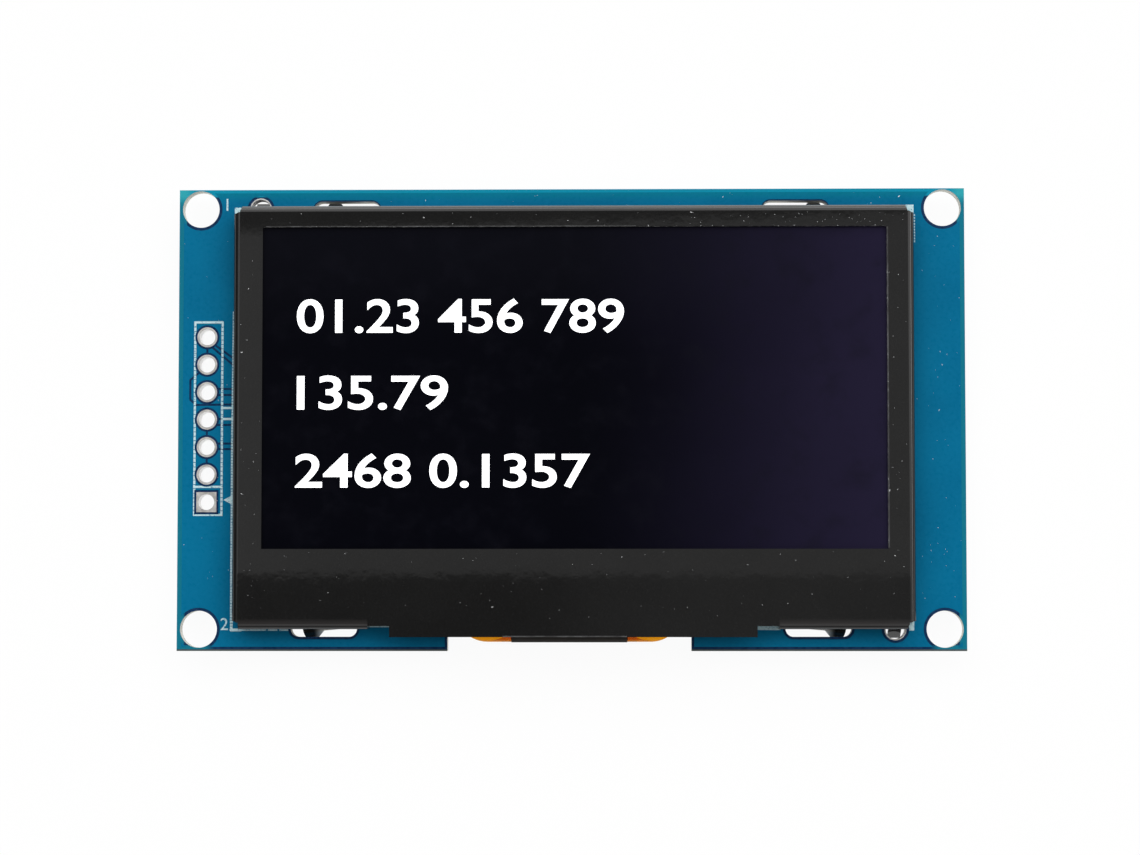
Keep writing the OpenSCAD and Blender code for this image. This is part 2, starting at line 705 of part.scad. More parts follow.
// Coated winding between the flanges
module inductor_winding() color("#5a4a40") on_back(inductor_at)
    translate([0, 0, inductor_flange_t]) difference() {
        h = inductor_t - 2 * inductor_flange_t;
        cylinder(d = inductor_w - 2 * winding_inset, h = h);
        translate([0, 0, -past]) cylinder(d = inductor_post_d + 2 * winding_gap, h = h + 2 * past);
    }

// Body of a chip between its metal ends
module chip_body(chip) on_back(chip[0], chip[1]) {
    size = chip[2];
    translate([0, 0, chip_end_step])
        block([size.x * (1 - 2 * chip_end), size.y - 2 * chip_end_step, size.z - 2 * chip_end_step]);
}

// Metal ends of a chip
module chip_ends(chip) on_back(chip[0], chip[1]) {
    size = chip[2];
    end_l = size.x * chip_end;
    for (side = [-1, 1]) translate([side * (size.x - end_l) / 2, 0, 0]) block([end_l, size.y, size.z]);
}

// Hollow solder fillets in front of a chip's metal ends
module chip_fillets(chip) on_back(chip[0], chip[1]) {
    size = chip[2];
    h = fillet_climb * size.z;
    for (turn = [0, 180]) rotate(turn) along_y(size.y) polygon([
        [size.x / 2, 0], [size.x / 2 + fillet_l, 0],
        for (i = [0 : fillet_steps])
            [size.x / 2 + fillet_l * (1 - fillet_sag * sin(90 * i / fillet_steps)),
             h * (1 - fillet_sag * cos(90 * i / fillet_steps))],
        [size.x / 2, h]
    ]);
}

// Lands under a chip's metal ends and their solder
module chip_lands(chip) on_back(chip[0], chip[1], 0) {
    size = chip[2];
    inner = size.x * (0.5 - chip_end) - land_lap;
    outer = size.x / 2 + fillet_l + land_lap;
    for (side = [-1, 1]) translate([side * (inner + outer) / 2, 0, 0])
        block([outer - inner, size.y + 2 * land_lap, land_t]);
}

module boost_input_capacitor() color("#a58a66") chip_body(boost_input);

module boost_output_capacitor() color("#a58a66") chip_body(boost_output);

module panel_supply_capacitor() color("#a58a66") chip_body(panel_supply);

module common_voltage_capacitor() color("#a58a66") chip_body(common_voltage);

module regulator_input_capacitor() color("#a58a66") chip_body(regulator_input);

module regulator_output_capacitor() color("#a58a66") chip_body(regulator_output);

module logic_supply_capacitor() color("#a58a66") chip_body(logic_supply);

module reset_capacitor() color("#a58a66") chip_body(reset_filter);

module feedback_upper_resistor() color("#1f1f20") chip_body(feedback_upper);

module feedback_lower_resistor() color("#1f1f20") chip_body(feedback_lower);

module current_reference_resistor() color("#1f1f20") chip_body(current_reference);

module reset_resistor() color("#1f1f20") chip_body(reset_pull);

module interface_resistor_1() color("#1f1f20") chip_body(interface_1);

module interface_resistor_2() color("#1f1f20") chip_body(interface_2);

module chip_terminations() color("#b9bbbd") for (chip = CHIPS) chip_ends(chip);

// Solder of the chips, the package leads and the inductor
module solder_fillets() color("#c4c6c8") {
    for (chip = CHIPS) chip_fillets(chip);
    on_back(boost_at) at_leads(BOOST_LEADS) lead_toe(package_span, package_lead_w);
    on_back(regulator_at) at_leads(REGULATOR_LEADS) lead_toe(package_span, package_lead_w);
    on_back(diode_at) at_diode_leads() lead_toe(diode_span, diode_lead_w);
    on_back(inductor_at) inductor_joints();
}

// Tinned lands on the back of the board, with one pair that carries no part
module board_lands() color("#c8c4b4") {
    for (chip = LANDS) chip_lands(chip);
    on_back(boost_at, 0, 0) at_leads(BOOST_LEADS)
        lead_land(package_w, package_span, package_lead_w);
    on_back(regulator_at, 0, 0) at_leads(REGULATOR_LEADS)
        lead_land(package_w, package_span, package_lead_w);
    on_back(diode_at, 0, 0) at_diode_leads() lead_land(diode_l, diode_span, diode_lead_w);
    on_back(inductor_at, 0, 0) inductor_lands();
}

circuit_board();
header_plating();
leg_hole_plating();
bezel();
polarizer();
front_glass();
emitter_film();
edge_seal();
desiccant_sheet();
rear_glass();
driver_chip();
left_tape();
right_tape();
flex_cable();
flex_cover();
flex_solder_joints();
boost_converter();
boost_converter_leads();
voltage_regulator();
voltage_regulator_leads();
rectifier_diode();
rectifier_diode_leads();
inductor_core();
inductor_winding();
boost_input_capacitor();
boost_output_capacitor();
panel_supply_capacitor();
common_voltage_capacitor();
regulator_input_capacitor();
regulator_output_capacitor();
logic_supply_capacitor();
reset_capacitor();
feedback_upper_resistor();
feedback_lower_resistor();
current_reference_resistor();
reset_resistor();
interface_resistor_1();
interface_resistor_2();
chip_terminations();
solder_fillets();
board_lands();
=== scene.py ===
"""Looks of the display module: the finish of every CAD node, and the thin layers printed or laid on them."""

import math
import random

import bmesh
import bpy
from mathutils import Matrix, Vector
from mathutils.geometry import delaunay_2d_cdt


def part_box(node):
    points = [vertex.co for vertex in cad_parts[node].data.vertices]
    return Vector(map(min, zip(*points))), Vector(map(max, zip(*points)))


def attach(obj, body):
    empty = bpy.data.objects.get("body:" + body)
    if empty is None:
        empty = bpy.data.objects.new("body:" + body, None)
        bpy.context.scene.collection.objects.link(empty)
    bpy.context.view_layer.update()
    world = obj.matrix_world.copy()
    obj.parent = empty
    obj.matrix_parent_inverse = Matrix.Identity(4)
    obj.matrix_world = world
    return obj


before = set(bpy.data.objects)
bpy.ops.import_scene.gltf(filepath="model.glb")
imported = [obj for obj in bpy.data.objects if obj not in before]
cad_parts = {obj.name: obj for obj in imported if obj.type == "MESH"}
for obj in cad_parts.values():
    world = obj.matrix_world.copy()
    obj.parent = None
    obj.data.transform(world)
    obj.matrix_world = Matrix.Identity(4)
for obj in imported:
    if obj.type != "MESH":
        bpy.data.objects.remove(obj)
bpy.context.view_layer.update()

# Sizes and places are in millimetres, in the CAD frame: the screen faces +Z and +Y is the top of the picture.
MM = 0.001
BODY = "root"


def box_mm(node):
    """Lowest and highest corner of a CAD node, in millimetres."""
    low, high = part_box(node)
    return low / MM, high / MM


BOARD_LOW, BOARD_HIGH = box_mm("circuit_board")
BEZEL_LOW, BEZEL_HIGH = box_mm("bezel")
HEADER_LOW, HEADER_HIGH = box_mm("header_plating")
FLEX_LOW, FLEX_HIGH = box_mm("flex_cable")
FLEX_X = (FLEX_LOW.x + FLEX_HIGH.x) / 2
LEG_PADS_LOW, LEG_PADS_HIGH = box_mm("leg_hole_plating")
FACE_Z = BEZEL_HIGH.z
SCREEN_Z = box_mm("polarizer")[1].z

# Layers on the board's faces
POUR_T = 0.02
SILK_T = 0.015
POUR_TOP = BOARD_HIGH.z + POUR_T
POUR_BOTTOM = BOARD_LOW.z - POUR_T
BACK_SILK_Z = POUR_BOTTOM - SILK_T

# Holes of the board
MOUNT_HOLE_R = 1.7
MOUNT_HOLE_X = 34.25
MOUNT_HOLE_TOP_Y = 19.5
MOUNT_HOLE_BOTTOM_Y = -19.3
SLOT_L = 6.1
SLOT_W = 1.5
SLOTS = [(-20.7, 19.45), (20.7, 19.45), (-22.7, -19.25), (22.7, -19.25)]
LEG_PAD_R = 1.1
LEG_HOLES = [
    (LEG_PADS_LOW.x + LEG_PAD_R, LEG_PADS_HIGH.y - LEG_PAD_R),
    (LEG_PADS_HIGH.x - LEG_PAD_R, LEG_PADS_LOW.y + LEG_PAD_R),
]
LEG_RING_R = 1.02
NOTCH_HALF_W = 11.2
NOTCH_Y = -18.6

# Header
HEADER_COUNT = 7
HEADER_PITCH = 2.54
HEADER_X = (HEADER_LOW.x + HEADER_HIGH.x) / 2
PAD_R = (HEADER_HIGH.x - HEADER_LOW.x) / 2
PIN_Y = [(HEADER_COUNT // 2 - i) * HEADER_PITCH for i in range(HEADER_COUNT)]

# Window of the bezel
WINDOW_LEFT, WINDOW_RIGHT = -28.2, 28.9
WINDOW_BOTTOM, WINDOW_TOP = -12.0, 17.5

# Lower side of the bezel: bent walls left and right, and between them a gap with the flat flap
BEZEL_X = (BEZEL_LOW.x + BEZEL_HIGH.x) / 2
BEZEL_BOTTOM_Y, BEZEL_TOP_Y = -19.3, 19.5
LOWER_GAP_HALF_W = 18.75
FLAP_REACH = 0.72
FLAP_Y = BEZEL_BOTTOM_Y - FLAP_REACH


# Flat outlines

def rectangle(x0, y0, x1, y1):
    """Outline of the rectangle between two opposite corners."""
    return [(x0, y0), (x1, y0), (x1, y1), (x0, y1)]


def circle(x, y, r, steps=40):
    """Outline of a circle with that many corners."""
    turns = [2 * math.pi * i / steps for i in range(steps)]
    return [(x + r * math.cos(t), y + r * math.sin(t)) for t in turns]


def rounded_slot(x, y, length, width, steps=14):
    """Outline of a slot along X with round ends."""
    reach, r = (length - width) / 2, width / 2
    turns = [math.pi * (i / steps - 0.5) for i in range(steps + 1)]
    right = [(x + reach + r * math.cos(t), y + r * math.sin(t)) for t in turns]
    left = [(x - reach - r * math.cos(t), y - r * math.sin(t)) for t in turns]
    return right + left


def stroke(points, width):
    """Outlines that together draw a line of that width through the points."""
    loops = [circle(x, y, width / 2, steps=12) for x, y in points[1:-1]]
    for start, end in zip(points, points[1:]):
        a, b = Vector(start), Vector(end)
        along = (b - a).normalized() * width / 2
        side = Vector((-along.y, along.x))
        loops.append([tuple(p) for p in (a + side, a - side, b - side, b + side)])
    return loops


def dashes(start, end, width, step, share):
    """Outlines of a broken line, in which a dash fills that share of each step."""
    a, b = Vector(start), Vector(end)
    count = round((b - a).length / step)
    loops = []
    for i in range(count):
        loops += stroke([a.lerp(b, i / count), a.lerp(b, (i + share) / count)], width)
    return loops


def frame_strokes(x0, y0, x1, y1, width):
    """Strokes along the four sides of a rectangle, with closed corners."""
    half = width / 2
    return [
        rectangle(x0 - half, y0 - half, x1 + half, y0 + half),
        rectangle(x0 - half, y1 - half, x1 + half, y1 + half),
        rectangle(x0 - half, y0, x0 + half, y1),
        rectangle(x1 - half, y0, x1 + half, y1),
    ]


# Pieces

def piece(name, bm, material):
    """Makes a riding object from a mesh built in millimetres."""
    mesh = bpy.data.meshes.new(name)
    bmesh.ops.scale(bm, vec=(MM, MM, MM), verts=bm.verts)
    bm.to_mesh(mesh)
    bm.free()
    mesh.materials.append(material)
    made = bpy.data.objects.new(name, mesh)
    bpy.context.scene.collection.objects.link(made)
    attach(made, BODY)
    return made


SAME_POINT = 1e-5


def plate(name, material, keep, cut, low, high):
    """Flat piece between two heights: the area inside a keep outline and outside every cut outline."""
    points, loops = [], []
    for outline in keep + cut:
        loops.append(list(range(len(points), len(points) + len(outline))))
        points += [Vector(p) for p in outline]
    corners, _, faces, _, _, owners = delaunay_2d_cdt(points, [], loops, 0, SAME_POINT, True)
    bm = bmesh.new()
    verts = [bm.verts.new((p.x, p.y, low)) for p in corners]
    for face, inside in zip(faces, owners):
        if min(inside, default=len(keep)) < len(keep) and max(inside) < len(keep):
            bm.faces.new([verts[i] for i in face])
    loose = [v for v in bm.verts if not v.link_faces]
    bmesh.ops.delete(bm, geom=loose, context="VERTS")
    lifted = bmesh.ops.extrude_face_region(bm, geom=bm.faces[:])["geom"]
    for vert in lifted:
        if isinstance(vert, bmesh.types.BMVert):
            vert.co.z = high
    bmesh.ops.recalc_face_normals(bm, faces=bm.faces)
    return piece(name, bm, material)


# Materials

def rgba(colour):
    """Colour with a full alpha."""
    return (*colour, 1.0)


class Graph:
    """Short calls that add and link the nodes of one tree."""

    def __init__(self, tree):
        self.tree = tree

    def add(self, kind, **settings):
        """Adds a node with these properties."""
        node = self.tree.nodes.new(kind)
        for key, value in settings.items():
            setattr(node, key, value)
        return node

    def feed(self, socket, value):
        """Links an output to a socket, or sets a constant on it."""
        if isinstance(value, bpy.types.NodeSocket):
            self.tree.links.new(value, socket)
        elif isinstance(value, tuple) and len(value) == 3 and socket.type == "RGBA":
            socket.default_value = rgba(value)
        else:
            socket.default_value = value

    def maths(self, operation, *values):
        """Result of an operation on outputs or constants."""
        node = self.add("ShaderNodeMath", operation=operation)
        for socket, value in zip(node.inputs, values):
            self.feed(socket, value)
        return node.outputs[0]

    def fade(self, value, low, high, start=0.0, end=1.0):
        """Smooth step from start, at low, to end, at high."""
        node = self.add("ShaderNodeMapRange", interpolation_type="SMOOTHSTEP")
        for socket, given in zip(node.inputs, (value, low, high, start, end)):
            self.feed(socket, given)
        return node.outputs[0]

    def product(self, *values):
        """Product of any number of outputs or constants."""
        result = values[0]
        for value in values[1:]:
            result = self.maths("MULTIPLY", result, value)
        return result

    def mix(self, factor, a, b):
        """Colour between a, at factor 0, and b, at factor 1."""
        node = self.add("ShaderNodeMix", data_type="RGBA")
        self.feed(node.inputs["Factor"], factor)
        self.feed(node.inputs[6], a)
        self.feed(node.inputs[7], b)
        return node.outputs[2]


class Look(Graph):
    """A node material on one principled shader, with its textures placed in millimetres in the CAD frame."""

    def __init__(self, name, **sockets):
        self.material = bpy.data.materials.new(name)
        self.material.use_nodes = True
        super().__init__(self.material.node_tree)
        self.shader = self.tree.nodes["Principled BSDF"]
        place = self.add("ShaderNodeTexCoord").outputs["Object"]
        scaled = self.add("ShaderNodeVectorMath", operation="SCALE")
        self.feed(scaled.inputs[0], place)
        self.feed(scaled.inputs["Scale"], 1 / MM)
        self.place = scaled.outputs[0]
        split = self.add("ShaderNodeSeparateXYZ")
        self.feed(split.inputs[0], self.place)
        self.x, self.y, self.z = split.outputs
        for socket, value in sockets.items():
            self.set(socket.replace("_", " ").title().replace("Ior", "IOR"), value)

    def set(self, socket, value):
        """Feeds a socket of the shader."""
        self.feed(self.shader.inputs[socket], value)

    def noise(self, size, detail=3.0, stretch=(1, 1, 1), distortion=0.0):
        """Noise with lumps of about that size, drawn out along the axes by stretch."""
        drawn = self.add("ShaderNodeVectorMath", operation="DIVIDE")
        self.feed(drawn.inputs[0], self.place)
        self.feed(drawn.inputs[1], Vector(stretch))
        node = self.add("ShaderNodeTexNoise")
        self.feed(node.inputs["Vector"], drawn.outputs[0])
        self.feed(node.inputs["Scale"], 1 / size)
        self.feed(node.inputs["Detail"], detail)
        self.feed(node.inputs["Distortion"], distortion)
        return node.outputs["Fac"]

    def bump(self, height, depth, socket="Normal"):
        """Relief of that depth in millimetres, on the surface or on its coat."""
        node = self.add("ShaderNodeBump")
        self.feed(node.inputs["Height"], height)
        self.feed(node.inputs["Distance"], depth * MM)
        self.set(socket, node.outputs[0])

    def rough(self, height, low, high):
        """Roughness between two levels, by a noise."""
        self.set("Roughness", self.fade(height, 0.3, 0.7, low, high))


def grainy(name, dark, light, grain, roughness, relief, stretch=(1, 1, 1), **sockets):
    """Plain two-tone finish: a soft mottle, a fine grain, and the same grain as roughness and relief."""
    look = Look(name, **sockets)
    mottle = look.noise(grain * 9, 2.0, stretch)
    fine = look.noise(grain, 4.0, stretch)
    both = look.maths("ADD", look.product(mottle, 0.6), look.product(fine, 0.4))
    look.set("Base Color", look.mix(look.fade(both, 0.35, 0.65), dark, light))
    look.rough(fine, *roughness)
    look.bump(fine, relief)
    return look.material


def mask_over_copper():
    """Blue solder mask where copper lies under it, lighter and greener along the top edge, which is painted
    light.
    """
    look = Look("mask_over_copper", specular_ior_level=0.04)
    cloud = look.noise(9.0, 3.0)
    weave = look.noise(0.35, 3.0)
    tone = look.mix(look.fade(cloud, 0.3, 0.7), (0.0008, 0.126, 0.252), (0.0015, 0.150, 0.290))
    # Painted light: the strip above the bezel turns lighter and greener towards the board's top edge, away
    # from the bezel's shade.
    painted_light_top = look.fade(look.y, BOARD_HIGH.y - 1.3, BOARD_HIGH.y - 0.2, 0.0, 0.8)
    tone = look.mix(painted_light_top, tone, (0.002, 0.185, 0.262))
    look.set("Base Color", look.mix(look.fade(weave, 0.35, 0.75, 0.0, 0.22), tone, (0.004, 0.180, 0.345)))
    look.rough(weave, 0.26, 0.38)
    look.bump(weave, 0.004)
    return look.material


def mask_over_laminate():
    """Solder mask on bare laminate: dark between copper areas, light and greenish along the outer edges, and
    lighter along the top edge than the sides, which is painted light.
    """
    look = Look("mask_over_laminate", specular_ior_level=0.06)
    from_side = look.maths("SUBTRACT", BOARD_HIGH.x, look.maths("ABSOLUTE", look.x))
    from_top = look.maths("SUBTRACT", BOARD_HIGH.y, look.y)
    from_bottom = look.maths("SUBTRACT", look.y, BOARD_LOW.y)
    inward = look.maths("MINIMUM", from_side, from_top)
    outward = look.maths("MAXIMUM", from_side, from_top)
    weave = look.noise(0.4, 3.0)
    dark = look.mix(look.fade(weave, 0.3, 0.7), (0.004, 0.024, 0.075), (0.008, 0.038, 0.105))
    # Painted light: the top edge takes a lighter tone than the side edges.
    painted_light_top = look.fade(look.maths("SUBTRACT", from_side, from_top), -0.1, 0.1)
    plain = look.mix(painted_light_top, (0.006, 0.165, 0.245), (0.004, 0.255, 0.390))
    edge = look.mix(look.fade(outward, 0.4, 1.6), (0.03, 0.36, 0.42), plain)
    at_corner = look.product(look.fade(from_bottom, 0.6, 0.45), look.fade(from_side, 3.6, 2.4))
    between = look.product(look.fade(inward, 0.6, 0.75), look.maths("SUBTRACT", 1.0, at_corner))
    sides = look.mix(between, edge, dark)
    look.set("Base Color", look.mix(look.fade(from_bottom, 0.13, 0.19), (0.065, 0.085, 0.085), sides))
    look.rough(weave, 0.25, 0.36)
    look.bump(weave, 0.004)
    return look.material


def laminate_edge():
    """Cut glass-fibre laminate: pale resin with layers of fibre."""
    look = Look("laminate_edge", specular_ior_level=0.3)
    layers = look.noise(0.16, 3.0, (9, 9, 1))
    fluff = look.noise(0.12, 4.0)
    pale = look.mix(look.fade(layers, 0.35, 0.65), (0.50, 0.51, 0.46), (0.78, 0.78, 0.73))
    look.set("Base Color", look.mix(look.fade(fluff, 0.55, 0.75, 0.0, 0.6), pale, (0.86, 0.86, 0.83)))
    look.rough(fluff, 0.6, 0.85)
    look.bump(look.maths("ADD", layers, fluff), 0.02)
    return look.material


SILK_STEP = 0.34
SILK_STEP_DEPTH = 0.08


def silk_ink():
    """Pale ink, printed in fine steps and thin enough to break up in places."""
    look = Look("silk_ink", specular_ior_level=0.1)
    wear = look.noise(0.16, 3.0)
    slant = look.maths("ADD", look.x, look.y)
    steps = look.maths("SINE", look.product(slant, 2 * math.pi / SILK_STEP))
    broken = look.maths("ADD", wear, look.product(look.maths("MAXIMUM", steps, 0.0), SILK_STEP_DEPTH))
    tone = look.mix(look.noise(1.5), (0.46, 0.66, 0.71), (0.58, 0.77, 0.80))
    look.set("Base Color", look.mix(look.fade(broken, 0.58, 0.72, 0.0, 0.75), tone, (0.02, 0.19, 0.32)))
    look.rough(wear, 0.5, 0.7)
    look.bump(wear, 0.006)
    return look.material


# Where the bezel's paint is lighter along the lower bends, a painted highlight, and light grey on the lower
# tabs, a painted reflection, from none to full
BEND_HIGHLIGHT_Y = (-18.25, -18.85)
BEND_HIGHLIGHT_Z = (FACE_Z - 0.15, FACE_Z - 0.02)
BEND_HIGHLIGHT_X = (LOWER_GAP_HALF_W - 0.1, LOWER_GAP_HALF_W + 0.1)
TAB_REFLECTION_X = (24.1, 23.1)
TAB_REFLECTION_Y = (-18.0, -18.6)
TAB_REFLECTION_Z = (2.9, 2.6)


def bezel_paint(name, **gloss):
    """Satin black paint with a fine grain and a thin clear gloss, with a painted highlight on the lower bends
    and a painted reflection on the lower tabs.
    """
    look = Look(name, specular_ior_level=0.03, **gloss)
    grain = look.noise(0.09, 4.0)
    haze = look.noise(5.0, 4.0)
    tone = look.mix(look.fade(haze, 0.3, 0.7), (0.0046, 0.0045, 0.0044), (0.0062, 0.0061, 0.0060))
    tone = look.mix(look.fade(grain, 0.45, 0.8), tone, (0.0100, 0.0098, 0.0096))
    off_middle = look.maths("ABSOLUTE", look.maths("SUBTRACT", look.x, BEZEL_X))
    at_bend = look.product(look.fade(look.y, *BEND_HIGHLIGHT_Y), look.fade(look.z, *BEND_HIGHLIGHT_Z))
    lower_bend_highlight = look.product(at_bend, look.fade(off_middle, *BEND_HIGHLIGHT_X))
    # Painted highlight: a lighter, warmer tone along the lower bends beside the gap.
    tone = look.mix(lower_bend_highlight, tone, (0.0225, 0.0205, 0.0202))
    in_slot = look.product(look.fade(look.y, *TAB_REFLECTION_Y), look.fade(look.z, *TAB_REFLECTION_Z))
    tab_reflection = look.product(in_slot, look.fade(off_middle, *TAB_REFLECTION_X))
    # Painted reflection: light grey on the lower tabs, where their twisted faces would mirror the white
    # floor.
    look.set("Base Color", look.mix(tab_reflection, tone, (0.75, 0.75, 0.74)))
    look.rough(grain, 0.38, 0.52)
    look.bump(grain, 0.006)
    wavy = look.maths("ADD", look.noise(0.5, 3.0), look.product(look.noise(2.5), 4.0))
    look.bump(wavy, 0.0004, "Coat Normal")
    return look.material


def bare_edge():
    """Cut edge of the sheet: grey metal with remains of paint."""
    look = Look("bare_edge", metallic=0.6)
    chips = look.noise(0.3, 4.0)
    look.set("Base Color", look.mix(look.fade(chips, 0.42, 0.62), (0.05, 0.05, 0.05), (0.5, 0.5, 0.5)))
    look.rough(chips, 0.35, 0.55)
    look.bump(chips, 0.01)
    return look.material


def polarizer_film():
    """Near-black film over the panel, which is a little lighter at the top and turns violet to the right; the
    violet is a painted reflection.
    """
    look = Look("polarizer_film", specular_ior_level=0.03)
    drift = look.maths("ADD", look.x, look.product(look.noise(14.0, 3.0), 8.0))
    # Painted reflection: the film turns violet towards the right.
    violet = look.fade(drift, 4.0, 45.0)
    upper = look.fade(look.y, 6.0, 17.0)
    dark = look.mix(upper, (0.0012, 0.0013, 0.0031), (0.0034, 0.0035, 0.0060))
    tone = look.mix(violet, dark, (0.0178, 0.0142, 0.0370))
    cloud = look.noise(2.2, 4.0)
    look.set("Base Color", look.mix(look.fade(cloud, 0.45, 0.8, 0.0, 0.35), tone, (0.006, 0.006, 0.010)))
    look.rough(cloud, 0.10, 0.16)
    look.bump(cloud, 0.001)
    return look.material


def panel_glass():
    """Clear glass with a faint film."""
    look = Look("panel_glass", transmission_weight=0.85, ior=1.52)
    film = look.noise(3.0, 3.0)
    look.set("Base Color", look.mix(film, (0.62, 0.72, 0.70), (0.78, 0.84, 0.82)))
    look.rough(film, 0.04, 0.12)
    look.bump(film, 0.001)
    return look.material


FLEX_LINE_PITCH = 0.5
FLEX_LINES_EDGE = (5.5, 5.3)


def polyimide():
    """Clear amber film; its copper lines show through between the bare edges."""
    look = Look("polyimide", transmission_weight=0.92, ior=1.08, specular_ior_level=0.02)
    wave = look.maths("SINE", look.product(look.x, 2 * math.pi / FLEX_LINE_PITCH))
    lines = look.fade(wave, -0.2, 0.4)
    off_middle = look.maths("ABSOLUTE", look.maths("SUBTRACT", look.x, FLEX_X))
    in_tail = look.fade(off_middle, *FLEX_LINES_EDGE)
    cloud = look.noise(1.2, 3.0)
    amber = look.mix(look.fade(cloud, 0.3, 0.7), (0.60, 0.225, 0.002), (0.72, 0.29, 0.003))
    look.set("Base Color", look.mix(look.product(lines, in_tail), amber, (0.34, 0.12, 0.01)))
    look.rough(cloud, 0.16, 0.28)
    look.bump(look.maths("ADD", cloud, lines), 0.002)
    return look.material


def lit_screen():
    """Light that the panel gives off, slightly uneven as its pixels are."""
    look = Look("lit_screen")
    level = look.noise(0.5, 2.0)
    white = look.mix(level, (0.92, 0.95, 1.0), (1.0, 1.0, 1.0))
    look.set("Base Color", (0.8, 0.8, 0.8))
    look.set("Emission Color", white)
    look.set("Emission Strength", 1.0)
    return look.material


MASK = mask_over_copper()
MASK_BARE = mask_over_laminate()
LAMINATE = laminate_edge()
SILK = silk_ink()
PAINT = bezel_paint("bezel_paint", coat_weight=0.72, coat_roughness=0.02, coat_ior=1.5)
RUBBED = bezel_paint("rubbed_paint", coat_weight=1.0, coat_roughness=0.2, coat_ior=2.2)
EDGE = bare_edge()
FILM = polarizer_film()
GLASS = panel_glass()
AMBER = polyimide()
LIGHT = lit_screen()
PALE_EDGE = grainy("pale_edge", (0.002, 0.002, 0.002), (0.062, 0.063, 0.065), 0.1, (0.45, 0.6), 0.004)
TIN = grainy(
    "tin_plating", (0.38, 0.37, 0.355), (0.63, 0.62, 0.605), 0.07, (0.3, 0.5), 0.006, metallic=0.9
)
# Painted reflection: the walls of the plated holes are near-white, standing in for the white floor mirrored
# in them.
BORE_REFLECTION = grainy(
    "bore_plating_reflection", (0.84, 0.83, 0.82), (0.96, 0.96, 0.95), 0.07, (0.3, 0.5), 0.006, metallic=0.3
)
SOLDER = grainy(
    "solder_metal", (0.58, 0.58, 0.58), (0.80, 0.80, 0.79), 0.08, (0.18, 0.4), 0.006, metallic=1.0
)
DUST = grainy("dust", (0.72, 0.73, 0.75), (0.92, 0.93, 0.94), 0.03, (0.8, 0.95), 0.004)
COVER = grainy(
    "cover_film", (0.014, 0.012, 0.010), (0.022, 0.018, 0.015), 0.12, (0.6, 0.75), 0.004,
    specular_ior_level=0.06,
)
EMITTER = grainy("emitter_layer", (0.03, 0.025, 0.05), (0.05, 0.04, 0.08), 0.1, (0.2, 0.3), 0.001)
SEALANT = grainy("sealant", (0.16, 0.15, 0.11), (0.24, 0.23, 0.17), 0.1, (0.5, 0.7), 0.004)
DESICCANT = grainy("desiccant", (0.66, 0.64, 0.58), (0.80, 0.78, 0.73), 0.06, (0.8, 0.95), 0.006)
SILICON = grainy("silicon", (0.07, 0.075, 0.09), (0.12, 0.125, 0.14), 0.2, (0.12, 0.2), 0.001)
TAPE = grainy("tape_foam", (0.72, 0.70, 0.64), (0.86, 0.84, 0.79), 0.08, (0.8, 0.95), 0.02)
RESIN = grainy(
    "package_resin", (0.010, 0.010, 0.011), (0.024, 0.024, 0.025), 0.05, (0.45, 0.65), 0.006
)
FERRITE = grainy("ferrite", (0.028, 0.029, 0.032), (0.055, 0.056, 0.06), 0.06, (0.4, 0.6), 0.01)
WINDING = grainy(
    "winding_coat", (0.10, 0.045, 0.022), (0.21, 0.10, 0.045), 0.12, (0.25, 0.4), 0.02, (6, 6, 1)
)
CERAMIC = grainy("capacitor_body", (0.27, 0.18, 0.10), (0.40, 0.28, 0.16), 0.06, (0.35, 0.5), 0.004)
RESISTOR = grainy(
    "resistor_body", (0.010, 0.010, 0.012), (0.020, 0.020, 0.022), 0.05, (0.3, 0.45), 0.003
)

FINISHES = {
    "header_plating": TIN, "leg_hole_plating": TIN, "polarizer": FILM, "front_glass": GLASS,
    "rear_glass": GLASS, "emitter_film": EMITTER, "edge_seal": SEALANT, "desiccant_sheet": DESICCANT,
    "driver_chip": SILICON, "left_tape": TAPE, "right_tape": TAPE, "flex_cable": AMBER,
    "flex_cover": COVER, "flex_solder_joints": SOLDER, "boost_converter": RESIN,
    "voltage_regulator": RESIN, "rectifier_diode": RESIN, "inductor_core": FERRITE,
    "inductor_winding": WINDING, "chip_terminations": SOLDER, "solder_fillets": SOLDER,
    "board_lands": TIN,
}
NAME_FINISHES = {"_leads": SOLDER, "_capacitor": CERAMIC, "_resistor": RESISTOR}

# Bends of the bezel, which have their paint rubbed to a sheen along the top and the right side
BEND_Z = FACE_Z - 0.8
BEND_TOP_Y = 18.8
BEND_RIGHT_X = BEZEL_HIGH.x - 0.7
AT_RIM = 0.05
# How far the normal of a face leans along an axis: plainly facing it, on any bend, and where a bend is rubbed
FACING = 0.5
BEND_LEAST_Z, BEND_MOST_Z = 0.03, 0.89
TOP_RUB_LEAST_Y = 0.4
RIGHT_RUB_LEAST_X, RIGHT_RUB_MOST_X = 0.29, 0.5
PAINT_SLOT, EDGE_SLOT, RUBBED_SLOT = range(3)


